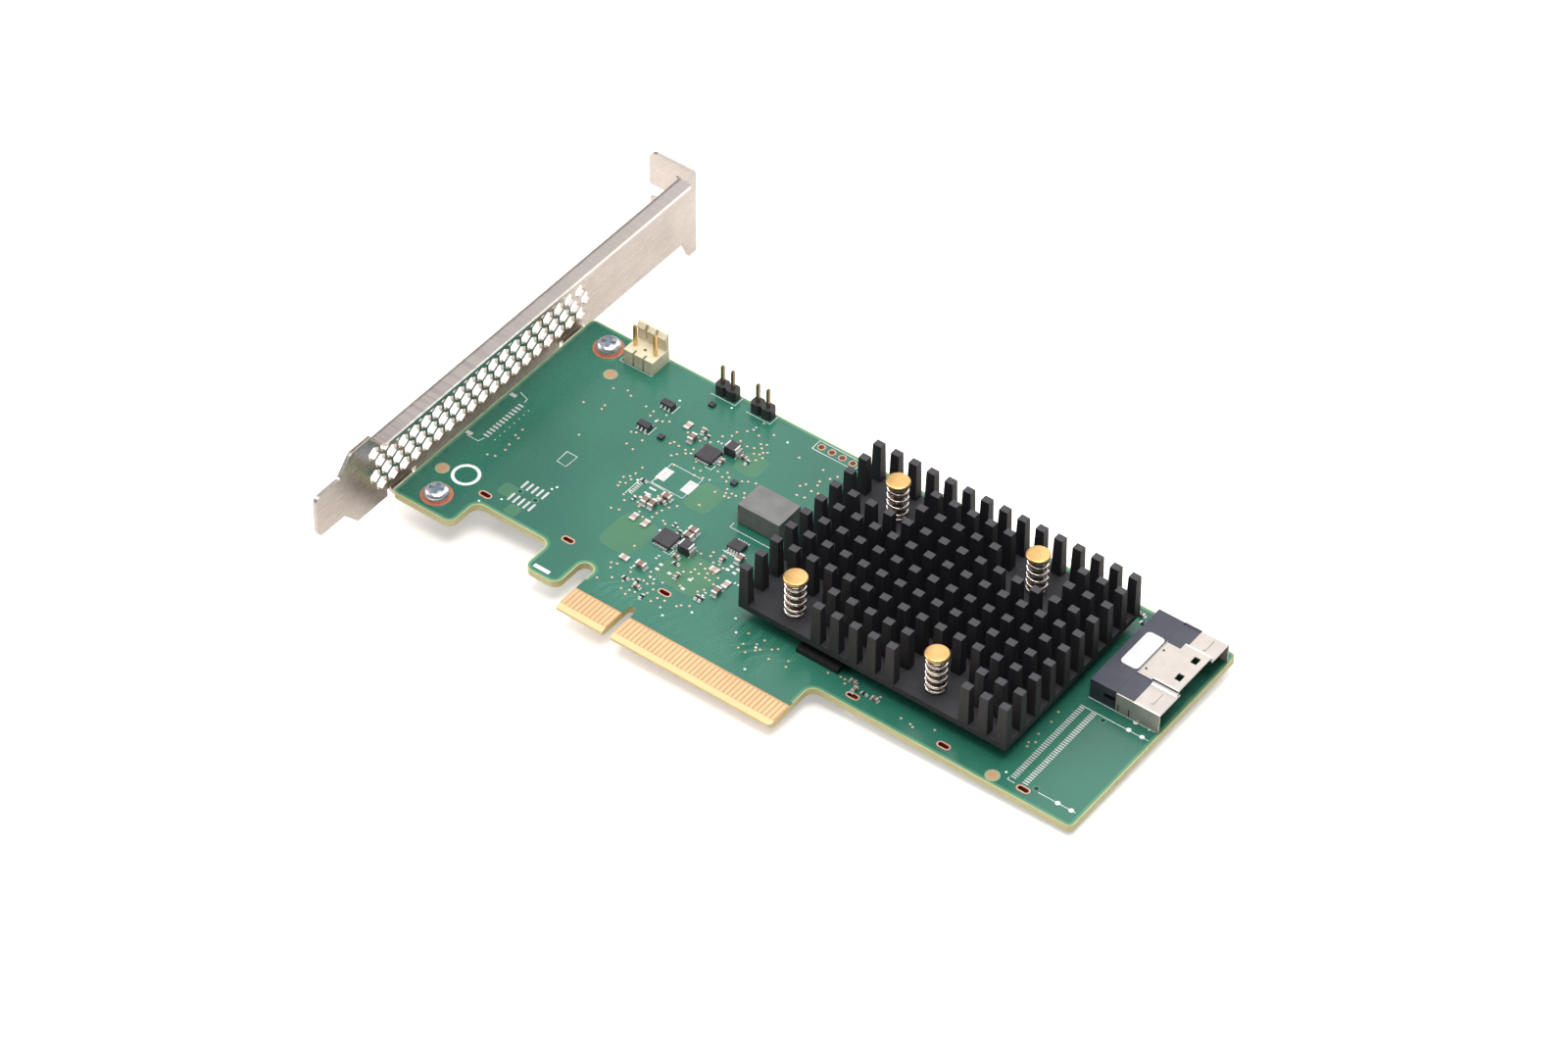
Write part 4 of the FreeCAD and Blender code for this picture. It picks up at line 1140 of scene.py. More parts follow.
    def fiducials(self) -> None:
        """Round alignment targets: a pale ring of bare laminate with a copper dot."""
        halo, dots = bmesh.new(), bmesh.new()
        dot_r, halo_r = self.target_r
        add_discs(halo, self.targets, halo_r, 0.0, 0.014)
        add_discs(dots, self.targets, dot_r, 0.0, 0.026)
        self.shop.piece("target_halos", mesh_from(halo), HALO, "laminate")
        self.shop.piece("target_dots", mesh_from(dots), COPPER, "gold")

    def clearings(self) -> None:
        """Places where no copper backs the mask."""
        build = bmesh.new()
        squareness = 0.45                # 1 gives an ellipse, 0 a rectangle
        unit = [tuple(math.copysign(abs(c) ** squareness, c) for c in point)
                for point in disc(0.0, 0.0, 1.0, 28)]
        for x0, y0, x1, y1 in self.patches:
            cx, cy, wx, wy = (x0 + x1) / 2, (y0 + y1) / 2, (x1 - x0) / 2, (y1 - y0) / 2
            add_slab(build, [(cx + wx * x, cy + wy * y) for x, y in unit], 0.0, 0.006)
        self.shop.piece("bare_mask_patches", mesh_from(build), OLIVE, "laminate")

    def tracks(self) -> None:
        """Pairs of tracks that run up from the edge contacts."""
        lines = []
        z = 0.007
        for pair in range(9):
            for twin in (0, 1):
                x = 4.6 + pair * 3.0 + twin * 0.55
                turn = 9.2 + pair * 0.35
                lines.append([(x, 7.2, z), (x, turn, z), (x + 3.5, turn + 3.6, z), (x + 3.5, 18.6, z)])
        for pair in range(5):
            for twin in (0, 1):
                x = -9.0 + pair * 1.9 + twin * 0.5
                lines.append([(x, 7.0, z), (x, 10.2, z), (x + 2.2, 12.4, z)])
        ribbon = Ribbon(0.28, 0.012)
        self.shop.piece("signal_tracks", ribbon.mesh(lines, self.shop.palette[TRACK]), TRACK, "laminate")

    def print_lines(self) -> None:
        """White outlines beside the headers, footprints and chips, and the plain bar, ring and dots."""
        z = 0.022

        def flat(*points: Point) -> list[Corner]:
            """A line at print height."""
            return [(x, y, z) for x, y in points]

        def rectangle(x0: float, y0: float, x1: float, y1: float) -> list[Corner]:
            """A closed outline at print height."""
            return flat((x0, y0), (x1, y0), (x1, y1), (x0, y1), (x0, y0))

        lines = [
            flat((-45.4, 67.8), (-45.4, 61.7), (-37.3, 61.7), (-37.3, 67.8)),
            flat((-24.9, 65.1), (-18.9, 65.1), (-18.9, 67.7)),
            flat((-16.1, 65.1), (-10.1, 65.1), (-10.1, 67.7)),
            rectangle(0.6, 64.6, 10.9, 67.3), flat((10.9, 64.6), (11.8, 64.6)),
            rectangle(-18.6, 37.8, -11.0, 44.4), flat((1.2, 38.6), (1.2, 37.2), (12.0, 37.2)),
            flat((-55.8, 26.2), (-52.9, 26.2), (-52.5, 27.6)),
            flat((-55.2, 42.2), (-52.8, 41.4), (-52.7, 40.3)),
            flat((82.2, 16.2), (82.2, 15.6), (83.8, 15.6)), flat((82.2, 39.4), (97.5, 39.4)),
            flat((88.6, 16.3), (97.0, 16.3)), flat((82.2, 42.0), (97.3, 42.0)),
            flat((82.2, 65.7), (87.4, 65.7)),
            flat((-20.8, 32.2), (-20.8, 37.5), (-15.1, 37.5)), flat((3.9, 31.3), (7.9, 31.3)),
            flat((-37.1, 34.5), (-34.5, 34.5), (-34.6, 31.0), (-37.0, 31.2), (-37.1, 34.5))]
        for x, y in ((-29.3, 56.9), (-29.3, 49.3)):
            lines.append(flat((x + 1.9, y - 1.4), (x + 1.9, y + 1.4)))
        for low, high in self.shop.islands("regulator_chips"):
            x, y = high.x + 0.8, low.y - 0.8
            lines.append(flat((x - 1.5, y), (x, y), (x, y + 1.5)))
        white = self.shop.palette[PRINT]
        self.shop.piece("print_outlines", Ribbon(0.16).mesh(lines, white), PRINT, "label")
        blocks = bmesh.new()
        add_box(blocks, (-22.4, 5.6, 0.0), (-18.6, 6.5, 0.02))
        add_ring(blocks, disc(-48.66, 17.3, 2.3), disc(-48.66, 17.3, 3.0), 0.0, 0.02)
        add_discs(blocks, self.corner_dots, 0.52, 0.0, 0.05)
        add_discs(blocks, self.test_points, 0.26, 0.0, 0.04, 12)
        add_discs(blocks, [(-50.5, 28.5 + 1.5 * k) for k in range(8)], 0.13, 0.0, 0.03, 8)
        self.shop.piece("print_blocks", mesh_from(blocks), PRINT, "label")

    def footprints(self) -> None:
        """Pads where no part is fitted: open footprints, single pads, and locating holes."""
        tin = self.shop.palette[SOLDER]
        rows = [PadRow((82.8, 16.7), (82.8, 38.9), 37, (1.2, 0.3)),
                PadRow((85.45, 16.7), (85.45, 38.9), 37, (1.2, 0.3)),
                PadRow((-52.67, 28.4), (-52.67, 39.2), 12, (1.35, 0.45)),
                PadRow((-37.8, 22.15), (-32.65, 22.15), 5, (0.5, 2.3)),
                PadRow((-37.8, 17.95), (-32.65, 17.95), 5, (0.5, 2.3)),
                PadRow((-55.8, 26.95), (-55.8, 40.7), 2, (1.5, 0.9)),
                PadRow((-17.85, 41.1), (-11.75, 41.1), 2, (2.2, 3.5)),
                PadRow((-20.0, 33.0), (-20.0, 36.9), 8, (0.9, 0.25)),
                PadRow((-17.2, 33.2), (-17.2, 36.4), 3, (1.6, 0.5))]
        self.shop.piece("open_footprints", joined(row.mesh(tin) for row in rows), SOLDER, "solder")
        build = bmesh.new()
        dx, dy, top = self.bare_pad
        for x, y in self.bare_pads:
            add_box(build, (x - dx, y - dy, 0.0), (x + dx, y + dy, top))
        self.shop.piece("bare_pads", mesh_from(build), SOLDER, "solder")
        holes, rings = bmesh.new(), bmesh.new()
        add_discs(holes, self.locating_holes, self.locating_r[0], 0.0, 0.03)
        for x, y in self.locating_holes:
            add_ring(rings, *(disc(x, y, r) for r in self.locating_r), 0.0, 0.014)
        self.shop.piece("locating_holes", mesh_from(holes), DARK_HOLE, "laminate")
        self.shop.piece("locating_hole_rims", mesh_from(rings), RIM_INNER, "laminate")

    def via_places(self) -> list[Point]:
        """Places of the plated vias: scattered in fields, clear of each other and of the parts.

        Returns:
            Centres of the vias, in mm.
        """
        rng = random.Random(11)
        blocked = self.shop.solids(
            (*PLACED_PARTS, "two_pin_headers", "lock_header", "drive_connector_housing"))
        spread, apart = 0.45, 0.7        # of a field's half size, and least distance squared
        places: list[Point] = []
        for cx, cy, wx, wy, count in self.via_fields:
            for _ in range(count):
                x, y = cx + rng.gauss(0, spread) * wx, cy + rng.gauss(0, spread) * wy
                lowest = 10.0 if -11 < x < 38 else 14.0      # the tongue lets them come lower
                inside = -56.0 < x < 97.0 and lowest < y < 67.0
                off_slots = all(abs(x - a) > 2.2 or abs(y - self.slot_y) > 1.5 for a in self.slots)
                off_holes = all(math.hypot(x - a, y - b) > 1.4 for a, b in self.wire_holes)
                free = inside and off_slots and off_holes and not covered(x, y, blocked, 0.5)
                if free and all((x - a) ** 2 + (y - b) ** 2 > apart for a, b in places):
                    places.append((x, y))
        return places

    def vias(self) -> None:
        """Plated vias on both faces: a tan ring with a pale middle."""
        places = self.via_places()
        kinds = (("rings", Dots(0.31, 0.024), VIA_RING, 0.012),
                 ("middles", Dots(0.17, 0.03, 8), VIA_MIDDLE, 0.018))
        for side in Side:
            for part, dots, finish, above in kinds:
                mesh = dots.mesh([(x, y, side.height(above)) for x, y in places], self.shop.palette[finish])
                self.shop.piece(f"via_{part}_{side.name.lower()}", mesh, finish, "gold")

    def build(self) -> None:
        """Makes everything on the board's faces."""
        self.shop.dress("circuit_board", SolderMask())
        self.shop.dress("front_edge_contacts", ContactGold())
        self.shop.dress("back_edge_contacts", ContactGold())
        self.rims()
        self.plating()
        self.fiducials()
        self.clearings()
        self.tracks()
        self.print_lines()
        self.footprints()
        self.vias()


@dataclass
class SmallParts:
    """Chip parts with their solder ends, and the small packages with their leads."""

    shop: Workshop
    flats: Sequence[tuple[float, float, str]] = (
        (-22.6, 54.8, "y"), (-15.2, 28.0, "y"), (-12.3, 27.9, "y"), (10.3, 24.1, "y"),
        (-9.7, 18.0, "x"), (6.1, 25.9, "x"))
    crumb_fields: Sequence[tuple[float, float, float, float, int]] = (
        (-4.0, 15.5, 8.0, 3.0, 60), (-1.5, 22.0, 5.0, 2.4, 16), (6.0, 21.0, 4.5, 4.0, 12),
        (-16.5, 53.0, 4.0, 4.0, 9), (-8.0, 31.5, 4.0, 3.0, 8), (-17.5, 34.8, 3.6, 3.0, 12),
        (47.0, 17.6, 5.0, 1.2, 12), (12.0, 28.0, 2.0, 6.0, 6), (78.6, 65.0, 1.6, 1.6, 4),
        (-22.0, 62.8, 1.6, 0.8, 4), (-8.0, 63.0, 4.0, 1.5, 6))
    fitted_share: float = 0.4
    cap_share: float = 0.21
    cap_proud: float = 0.015
    solder_l: float = 0.32
    solder_side: float = 0.06
    flat_size: Point = (2.0, 1.3)
    flat_end: float = 0.55

    def solder_ends(self) -> None:
        """Bright end caps on capacitors and resistors, and solder at the ends of these and of the diodes."""
        build = bmesh.new()
        proud = Vector((self.cap_proud,) * 3)
        for node in ("ceramic_capacitors", "resistors", "power_diodes"):
            for low, high in self.shop.islands(node):
                span = high - low
                axis = 0 if span.x >= span.y else 1
                other = 1 - axis
                for end in (0, 1):
                    if node != "power_diodes":
                        cap_low, cap_high = low - proud, high + proud
                        cap_low.z = 0.0
                        reach = span[axis] * self.cap_share
                        if end:
                            cap_low[axis] = high[axis] - reach
                        else:
                            cap_high[axis] = low[axis] + reach
                        add_box(build, cap_low, cap_high)
                    pad_low, pad_high = low.copy(), high.copy()
                    pad_low.z, pad_high.z = 0.0, min(0.12, span.z * 0.3)
                    pad_low[other] -= self.solder_side
                    pad_high[other] += self.solder_side
                    if end:
                        pad_low[axis], pad_high[axis] = high[axis], high[axis] + self.solder_l
                    else:
                        pad_low[axis], pad_high[axis] = low[axis] - self.solder_l, low[axis]
                    add_box(build, pad_low, pad_high)
        self.shop.piece("chip_solder_ends", mesh_from(build), SOLDER, "solder")

    def package_pads(self) -> None:
        """Terminals beside the leadless packages and the driver chip, and the diodes' bright clips."""
        tin = self.shop.palette[SOLDER]
        rows = []
        for low, high in self.shop.islands("regulator_chips"):
            x, y = centre_of((low, high))
            edge = (high.x - low.x) / 2 + 0.2
            for s in (-edge, edge):
                rows.append(PadRow((x - 1.4, y + s), (x + 1.4, y + s), 6, (0.34, 0.56), 0.22))
                rows.append(PadRow((x + s, y - 1.2), (x + s, y + 1.2), 5, (0.56, 0.34), 0.22))
        for x, y in map(centre_of, self.shop.islands("driver_chip")):
            for s in (-2.1, 2.1):
                rows.append(PadRow((x - 1.2, y + s), (x + 1.2, y + s), 5, (0.34, 0.5), 0.06))
        self.shop.piece("package_terminals", joined(row.mesh(tin) for row in rows), SOLDER, "solder")
        clips = bmesh.new()
        for low, high in self.shop.islands("power_diodes"):
            y = (low.y + high.y) / 2
            for x0, x1 in ((low.x - 0.02, low.x + 0.32), (high.x - 0.32, high.x + 0.02)):
                add_box(clips, (x0, y - 0.95, 0.3), (x1, y + 0.95, high.z + 0.015))
        self.shop.piece("diode_clips", mesh_from(clips), SOLDER, "solder")

    def flat_chips(self) -> None:
        """Wide low resistors: a pale middle between two bright ends."""
        middles, ends = bmesh.new(), bmesh.new()
        for x, y, along in self.flats:
            axis = 0 if along == "x" else 1
            half = Vector(self.flat_size if axis == 0 else self.flat_size[::-1]) / 2
            add_box(middles, (x - half.x + 0.02, y - half.y + 0.02, 0.0),
                    (x + half.x - 0.02, y + half.y - 0.02, 0.33))
            for s in (-1, 1):
                low, high = [x - half.x, y - half.y, 0.0], [x + half.x, y + half.y, 0.36]
                if s < 0:
                    high[axis] = low[axis] + self.flat_end
                else:
                    low[axis] = high[axis] - self.flat_end
                add_box(ends, low, high)
        self.shop.piece("flat_resistors", mesh_from(middles), FLAT_CHIP, "resistor_body")
        self.shop.piece("flat_resistor_ends", mesh_from(ends), SOLDER, "solder")

    def crumbs(self) -> None:
        """Tiny chips and bare pairs of pads: each field gets one, at its first try that finds room."""
        rng = random.Random(5)
        bodies, ends = bmesh.new(), bmesh.new()
        taken = self.shop.solids((*PLACED_PARTS, "memory_chip"))
        spots: list[Point] = []
        for cx, cy, wx, wy, count in self.crumb_fields:
            empty = True
            for _ in range(count):       # the tries of a filled field only take their draws
                x, y = cx + rng.uniform(-1, 1) * wx, cy + rng.uniform(-1, 1) * wy
                near = any(abs(x - a) < 1.25 and abs(y - b) < 0.95 for a, b in spots)
                if near or not empty or covered(x, y, taken, 0.9):
                    continue
                empty = False
                spots.append((x, y))
                axis = rng.randrange(2)
                fitted = rng.random() < self.fitted_share
                reach, half, tall = 0.42, 0.24, 0.3 if fitted else 0.05
                if fitted:
                    body = (reach, half) if axis == 0 else (half, reach)
                    add_box(bodies, (x - body[0], y - body[1], 0.0), (x + body[0], y + body[1], 0.28))
                for s in (-1, 1):
                    px, py = (x + s * reach, y) if axis == 0 else (x, y + s * reach)
                    dx, dy = (0.18, half + 0.02) if axis == 0 else (half + 0.02, 0.18)
                    add_box(ends, (px - dx, py - dy, 0.0), (px + dx, py + dy, tall))
        self.shop.piece("tiny_chips", mesh_from(bodies), RESISTOR, "resistor_body")
        self.shop.piece("tiny_chip_ends", mesh_from(ends), SOLDER, "solder")

    def build(self) -> None:
        """Dresses the small parts and adds their solder."""
        for node, finish in (
                ("ceramic_capacitors", CERAMIC), ("resistors", RESISTOR), ("regulator_chips", PACKAGE),
                ("six_lead_chips", PACKAGE), ("six_lead_chip_leads", SOLDER), ("driver_chip", PACKAGE),
                ("driver_chip_leads", SOLDER), ("power_diodes", PACKAGE), ("power_diode_terminals", SOLDER),
                ("logic_chips", PACKAGE), ("memory_chip", MEMORY_SHADE), ("power_inductor", FERRITE),
                ("inductor_terminals", SOLDER), ("controller_chip", SUBSTRATE), ("controller_chip_lid", LID),
                ("thermal_pad", THERMAL)):
            self.shop.dress(node, finish)
        self.solder_ends()
        self.package_pads()
        self.flat_chips()
        self.crumbs()


@dataclass
class Cooling:
    """Heatsink, and the turned pins and springs that press it down."""

    shop: Workshop
    head_r: float = 2.45
    spring_r: float = 1.92
    wire_r: float = 0.35
    turns: float = 5.2

    def pins(self) -> None:
        """Brass pins: a rounded head, a waisted shaft, and a barb under the board, with a thin sleeve of
        painted shade round each shaft inside its spring.
        """
        build, shafts = bmesh.new(), bmesh.new()
        for low, high in self.shop.islands("push_pins"):
            x, y = centre_of((low, high))
            top, foot, r = high.z, low.z, self.head_r
            profile = [(0.0, foot), (0.6, foot), (0.75, foot + 0.12), (1.65, foot + 1.5), (1.65, foot + 2.0),
                       (1.2, foot + 2.3), (1.2, top - 0.95), (1.5, top - 0.8), (r - 0.16, top - 0.79),
                       (r - 0.05, top - 0.72), (r, top - 0.6), (r, top - 0.3), (r - 0.06, top - 0.16),
                       (r - 0.2, top - 0.05), (r - 0.42, top), (0.0, top)]
            add_lathe(build, profile, (x, y), 56)
            # a thin sleeve round each shaft carries the painted shade
            add_ring(shafts, disc(x, y, 1.2), disc(x, y, 1.25), 3.2, top - 0.96)
        made = self.shop.piece("turned_pins", smooth(mesh_from(build), 30), BRASS, "pin_brass")
        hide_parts("push_pins")
        self.shop.piece("pin_shafts", smooth(mesh_from(shafts), 30), SHAFT_SHADE, "pin_brass")

    def springs(self) -> None:
        """Closed-end springs between the heatsink and the pins' heads."""
        coils = []
        for low, high in self.shop.islands("push_pin_springs"):
            spring = CoilSpring(self.spring_r, self.wire_r, self.turns, low.z, high.z)
            coil = spring.mesh(self.shop.palette[SPRING])
            x, y = centre_of((low, high))
            coil.transform(Matrix.Translation((x * MM, y * MM, 0)))
            coils.append(coil)
        made = self.shop.piece("coil_springs", smooth(joined(coils), 60), SPRING, "spring")
        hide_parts("push_pin_springs")

    def build(self) -> None:
        """Makes and dresses the cooling parts."""
        self.shop.dress("heatsink", BlackAnodised())
        self.shop.dress("push_pins", BRASS)
        self.shop.dress("push_pin_springs", SPRING)
        self.pins()
        self.springs()


@dataclass
class BracketGroup:
    """Mounting bracket and its two screws."""

    shop: Workshop
    head_r: float = 2.6
    flat_r: float = 1.7
    arm: float = 1.45
    arm_half: float = 0.36
    turn: float = math.radians(20)
    pit_depth: float = 1.0

    def cross(self, x: float, y: float) -> list[Point]:
        """Outline of the driver recess, in mm.

        Args:
            x: X of the screw's middle.
            y: Y of the screw's middle.
        Returns:
            Points round the recess.
        """
        a, w = self.arm, self.arm_half
        corners = [(a, -w), (a, w), (w, w), (w, a), (-w, a), (-w, w),
                   (-a, w), (-a, -w), (-w, -w), (-w, -a), (w, -a), (w, -w)]
        c, s = math.cos(self.turn), math.sin(self.turn)
        return [(x + px * c - py * s, y + px * s + py * c) for px, py in corners]

    def screws(self) -> None:
        """Pan-head screws with a rounded crown and a cross recess, filled with painted shade and a bluish
        painted reflection.
        """
        build, dark = bmesh.new(), bmesh.new()
        sides = 48
        for low, high in self.shop.islands("bracket_screws"):
            x, y = centre_of((low, high))
            r, flat, top = self.head_r, self.flat_r, high.z - 0.02
            profile = ((1.3, low.z), (1.45, low.z + 0.3), (1.45, 0.0), (r - 0.05, 0.0), (r, 0.08),
                       (r, top - 0.95), (r - 0.1, top - 0.6), (r - 0.32, top - 0.3), (r - 0.65, top - 0.1),
                       (flat, top))
            rows = [[build.verts.new((px, py, z)) for px, py in disc(x, y, radius, sides)]
                    for radius, z in profile]
            for a, b in zip(rows, rows[1:]):
                add_sides(build, a, b)
            build.faces.new(rows[0][::-1])
            outline = self.cross(x, y)
            rim = [build.verts.new((px, py, top)) for px, py in outline]
            pit = [build.verts.new((x + (px - x) * 0.8, y + (py - y) * 0.8, top - self.pit_depth))
                   for px, py in outline]
            n = len(rim)
            crown = [build.edges.get((rows[-1][k], rows[-1][(k + 1) % sides])) for k in range(sides)]
            crown += [build.edges.new((rim[k], rim[(k + 1) % n])) for k in range(n)]
            bmesh.ops.triangle_fill(build, use_beauty=True, edges=crown)
            add_sides(build, rim, pit)
            build.faces.new(pit)
            # a block inside each recess carries its painted shade and reflection
            inside = [(x + (px - x) * 0.9, y + (py - y) * 0.9) for px, py in outline]
            add_slab(dark, inside, top - 0.9, top - 0.22)
        self.shop.piece("screw_recesses", mesh_from(dark), RECESS_SHADE, "screw")
        made = self.shop.piece("pan_head_screws", smooth(mesh_from(build), 35), SCREW, "screw")
        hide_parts("bracket_screws")

    def build(self) -> None:
        """Dresses the bracket and makes its screws."""
        self.shop.dress("mounting_bracket", BracketSteel())
        self.shop.dress("bracket_screws", SCREW)
        self.screws()


@dataclass
class Connectors:
    """Drive connector, pin headers and the lock header."""

    shop: Workshop
    top: float = 4.7
    strip_t: float = 0.2
    bridge_top: float = 5.6
    bridge_x: tuple[float, float] = (91.7, 97.6)
    bridge_y: tuple[float, float] = (48.7, 60.0)
    wall_y: tuple[float, float] = (42.0, 65.6)
    label_r: float = 0.9
    line_t: float = 0.012

    def build(self) -> None:
        """Dresses the connectors."""
        for node, finish in (("drive_connector_housing", CONNECTOR), ("drive_connector_shell", SHELL),
                             ("drive_connector_contacts", GOLD), ("drive_connector_label", LABEL),
                             ("two_pin_headers", HEADER_BLACK), ("two_pin_header_pins", PIN_GOLD),
                             ("lock_header", HEADER_IVORY), ("lock_header_pins", BRIGHT_PIN)):
            self.shop.dress(node, finish)
        self.label()
        self.folds()
        self.marks()

    def label(self) -> None:
        """Blank label with rounded corners on the housing."""
        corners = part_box("drive_connector_label")
        (x0, y0, z0), (x1, y1, z1) = (tuple(c / MM for c in corner) for corner in corners)
        r, outline = self.label_r, []
        for cx, cy, start in ((x1 - r, y0 + r, -90), (x1 - r, y1 - r, 0),
                              (x0 + r, y1 - r, 90), (x0 + r, y0 + r, 180)):
            for k in range(7):
                a = math.radians(start + 15 * k)
                outline.append((cx + r * math.cos(a), cy + r * math.sin(a)))
        build = bmesh.new()
        add_slab(build, outline, z0, z1)
        made = self.shop.piece("rounded_label", mesh_from(build), LABEL, "label")
        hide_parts("drive_connector_label")

    def folds(self) -> None:
        """Rolled edges of the sheet shell beside its raised bridge, with lines along the bridge's and walls'
        edges, all pale as painted highlight, and painted shade in the gap between the rolled edges and the
        bridge.
        """
        bright, gap = bmesh.new(), bmesh.new()
        x0, x1 = self.bridge_x
        low, high = self.bridge_y
        top, line, fold = self.top, self.line_t, 0.4
        # painted highlight: the rolled edges and the lines along the edges take a pale finish
        section = ((0.75, top + 0.005), (0.02, top + 0.005), (0.02, top + fold), (0.3, top + 0.14))
        for edge, way in ((low, 1), (high, -1)):
            ends = [[bright.verts.new((x, edge - way * dy, z)) for dy, z in section] for x in (x0 + 0.3, x1)]
            add_sides(bright, *ends)
            for end in ends:
                bright.faces.new(end)
            # painted shade: a thin dark sheet in the gap beside each rolled edge
            y0, y1 = sorted((edge - way * 0.025, edge))
            add_box(gap, (x0 + 0.1, y0, top + fold), (x1, y1, self.bridge_top - 0.12))
            y0, y1 = sorted((edge, edge + way * 0.35))
            add_box(bright, (x0 + 0.05, y0, self.bridge_top), (x1, y1, self.bridge_top + line))
        near, far = self.wall_y
        for y0, y1 in ((near, near + fold), (far - fold, far)):
            add_box(bright, (x0 + 0.35, y0, top), (x1 + 0.3, y1, top + line))
        self.shop.piece("shell_folds", mesh_from(bright), SHELL_FOLD_HIGHLIGHT, "shell")
        self.shop.piece("shell_gaps", mesh_from(gap), SHELL_GAP_SHADE, "shell")

    def marks(self) -> None:
        """Painted shade along the shell's seams, in its dimples and side slots, and along the moulding's
        groove.
        """
        shell, dark = bmesh.new(), bmesh.new()
        x0, strip, line = self.bridge_x[0], self.top + self.strip_t, self.line_t
        low, high = self.bridge_y
        # painted shade along the shell's seams
        add_box(shell, (x0 - 0.16, low + 0.2, strip), (x0 - 0.02, high - 0.2, strip + line))
        add_box(shell, (88.25, low + 0.2, strip), (88.37, high - 0.9, strip + line))
        # painted shade in the dimples and the side slots
        add_discs(dark, ((89.05, 50.7), (89.05, 56.6)), 0.27, strip, strip + 0.014, 16)
        add_discs(dark, ((85.0, 48.65),), 0.4, self.top, self.top + line, 16)
        wall = self.wall_y[0]
        for x in (88.8, 91.2):
            add_box(dark, (x - 0.16, wall - line, 0.3), (x + 0.16, wall, 2.1))
        self.shop.piece("shell_seams", mesh_from(shell), SHELL_SEAM_SHADE, "shell")
        self.shop.piece("connector_shade_marks", mesh_from(dark), SHELL_GAP_SHADE, "connector")
        groove = bmesh.new()
        # painted shade along the moulding's groove
        for y0, y1 in ((42.4, 48.5), (60.0, 65.2)):
            add_box(groove, (87.9, y0, self.top), (88.05, y1, self.top + 0.01))
        self.shop.piece("housing_groove_shade", mesh_from(groove), PACKAGE, "connector")


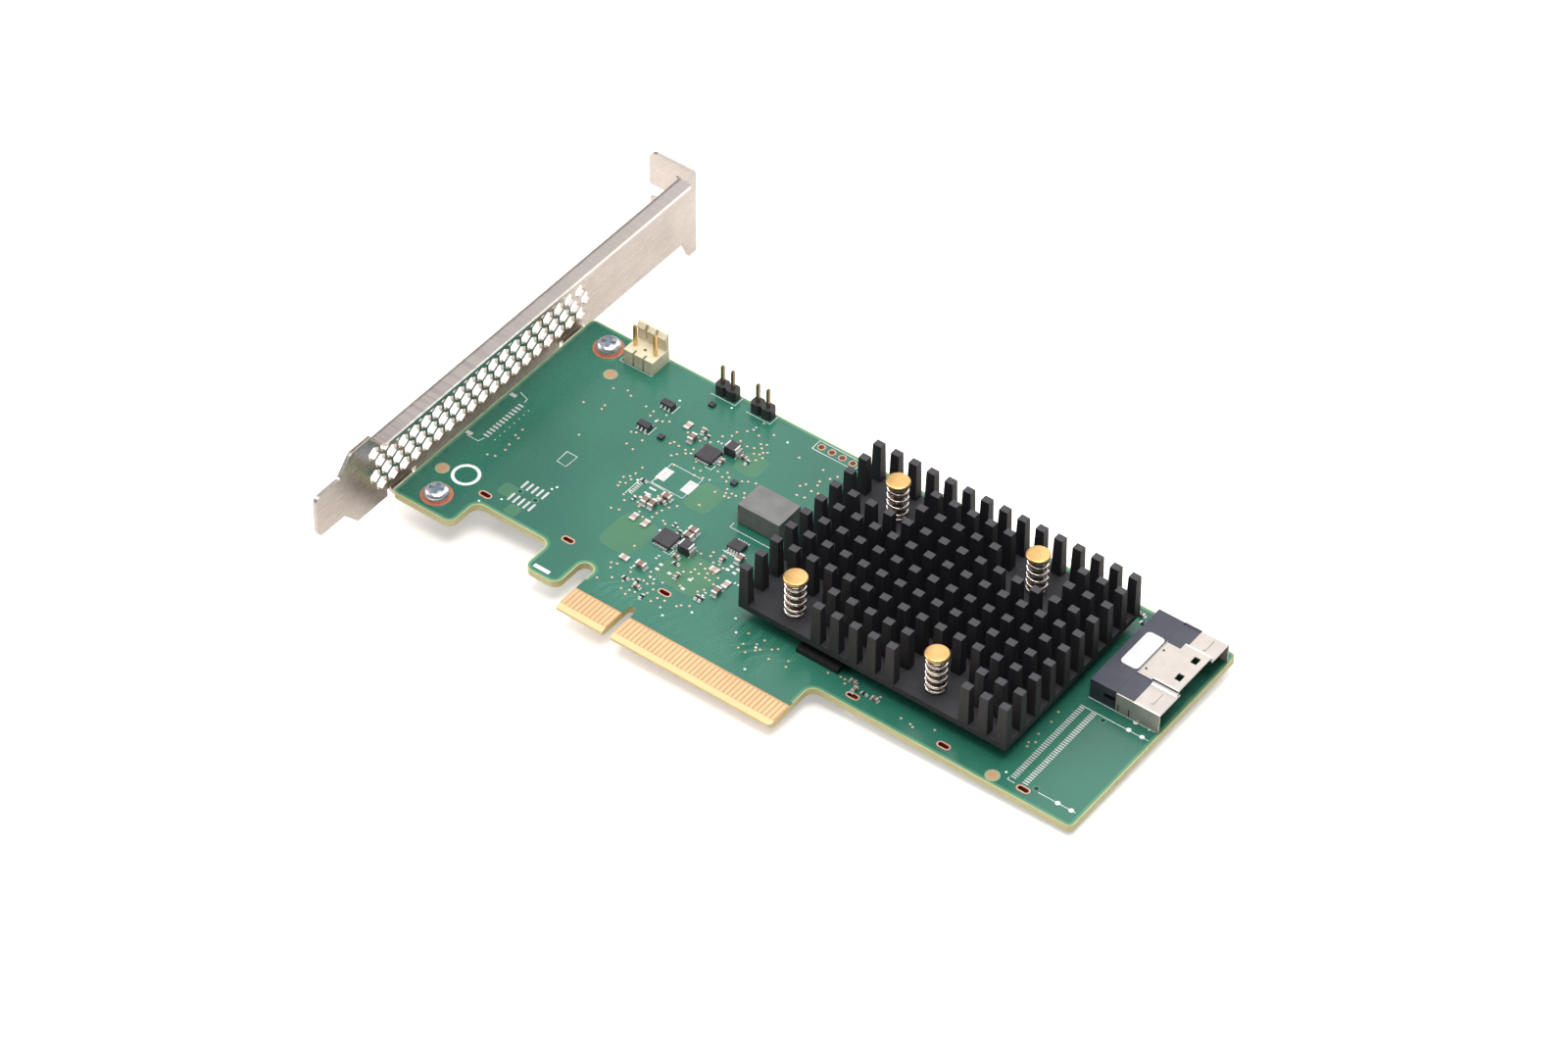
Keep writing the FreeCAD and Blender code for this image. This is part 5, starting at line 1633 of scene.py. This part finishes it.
@dataclass
class Studio:
    """Pale floor, soft lamps and the camera."""

    floor_mm: float = -7.25
    floor_slope: tuple[float, float] = (0.030, -0.030)
    eye_mm: tuple[float, float, float] = (417.1, -507.6, 672.8)
    ahead: tuple[float, float, float] = (-0.42471, 0.57434, -0.69983)
    right: tuple[float, float, float] = (0.79892, 0.60138, 0.00869)
    lens: float = 113.68
    lamps: Sequence[tuple] = field(default_factory=lambda: (
        ("softbox_above", (60, 60, 900), (20, 40, 0), 700, 8.0),
        ("softbox_left", (-700, -200, 500), (0, 40, 0), 600, 4.4),
        ("softbox_back", (-100, 900, 600), (20, 40, 0), 1000, 4.6)))
    dim_side: tuple[float, float, float] = (0.60, -0.73, 0.33)
    surround: tuple[float, float, float] = (0.46, 0.15, 1.0)

    def camera(self) -> None:
        """Places the camera."""
        data = bpy.data.cameras.new("camera")
        data.lens, data.sensor_width, data.clip_end = self.lens, 36.0, 100.0
        thing = new_object("camera", data)
        ahead, right = Vector(self.ahead).normalized(), Vector(self.right)
        right = (right - ahead * right.dot(ahead)).normalized()
        up = right.cross(ahead)
        turn = Matrix((right, up, -ahead)).transposed().to_4x4()
        thing.matrix_world = Matrix.Translation(Vector(self.eye_mm) * MM) @ turn
        bpy.context.scene.camera = thing

    def floor(self) -> None:
        """A wide pale floor that keeps the card's shadow and shows white elsewhere.

        The card lies on its bracket's foot and its far end, so the floor runs at a slight slope to the board.
        """
        s = Shader("floor")
        diffuse = s.node("ShaderNodeBsdfDiffuse", sockets={"Color": rgb(240, 233, 225)})
        glow = s.node("ShaderNodeEmission", sockets={"Color": (1.0, 0.965, 0.93, 1.0), "Strength": 0.44})
        both = s.node("ShaderNodeAddShader", sockets={0: diffuse.outputs[0], 1: glow.outputs[0]})
        path = s.node("ShaderNodeLightPath")
        mixed = s.node("ShaderNodeMixShader", sockets={
            0: path.outputs["Is Camera Ray"], 1: diffuse.outputs[0], 2: both.outputs[0]})
        output = s.node("ShaderNodeOutputMaterial")
        s.tree.links.new(mixed.outputs[0], output.inputs["Surface"])
        mesh = bpy.data.meshes.new("floor")
        along, across = self.floor_slope

        def corner(x: float, y: float) -> Corner:
            """A point of the floor, in metres."""
            return x, y, self.floor_mm * MM + along * (x + 0.065) + across * (y - 0.002)

        ends = ((-8, -8), (8, -8), (8, 8), (-8, 8))
        mesh.from_pydata([corner(x, y) for x, y in ends], [], [(0, 1, 2, 3)])
        mesh.materials.append(s.material)
        new_object("floor", mesh)

    def light(self) -> None:
        """Soft lamps and a pale surround that is dimmer on one side."""
        for name, place, aim, size, power in self.lamps:
            data = bpy.data.lights.new(name, "AREA")
            data.shape, data.size, data.energy = "SQUARE", size * MM, power
            thing = new_object(name, data)
            thing.location = Vector(place) * MM
            thing.rotation_euler = (Vector(aim) - Vector(place)).to_track_quat("-Z", "Y").to_euler()
        world = bpy.data.worlds.new("surround")
        bpy.context.scene.world = world
        world.use_nodes = True
        graph = Graph(world.node_tree)
        graph.tree.nodes.clear()
        path = graph.node("ShaderNodeLightPath")
        seen = Signal(graph, path.outputs["Is Camera Ray"])
        seen = seen.math("MAXIMUM", seen, path.outputs["Is Transmission Ray"])
        way = graph.signal("ShaderNodeTexCoord", "Generated")
        front = graph.signal("ShaderNodeVectorMath", "Value", {"operation": "DOT_PRODUCT"},
                             {0: way, 1: self.dim_side})
        even, dim, white = (graph.signal("ShaderNodeBackground", 0, sockets={
            "Color": (1.0, 1.0, 1.0, 1.0), "Strength": strength}) for strength in self.surround)
        soft = graph.signal("ShaderNodeMixShader", 0, sockets={0: front.span(0.2, 0.8), 1: even, 2: dim})
        mixed = graph.signal("ShaderNodeMixShader", 0, sockets={0: seen, 1: soft, 2: white})
        output = graph.node("ShaderNodeOutputWorld")
        graph.feed(output.inputs["Surface"], mixed)

    def build(self) -> None:
        """Sets the studio up."""
        self.camera()
        self.floor()
        self.light()
        bpy.context.scene.view_settings.view_transform = "Standard"


def main() -> None:
    """Builds the card's sub-assemblies in order, then the studio."""
    logging.basicConfig(level=logging.INFO, format="%(message)s")
    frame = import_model()
    shop = Workshop(frame)
    for group in (BoardFace(shop), BracketGroup(shop), Cooling(shop), SmallParts(shop), Connectors(shop)):
        LOG.info("== %s", type(group).__name__)
        group.build()
    Studio().build()


if __name__ == "__main__":
    main()
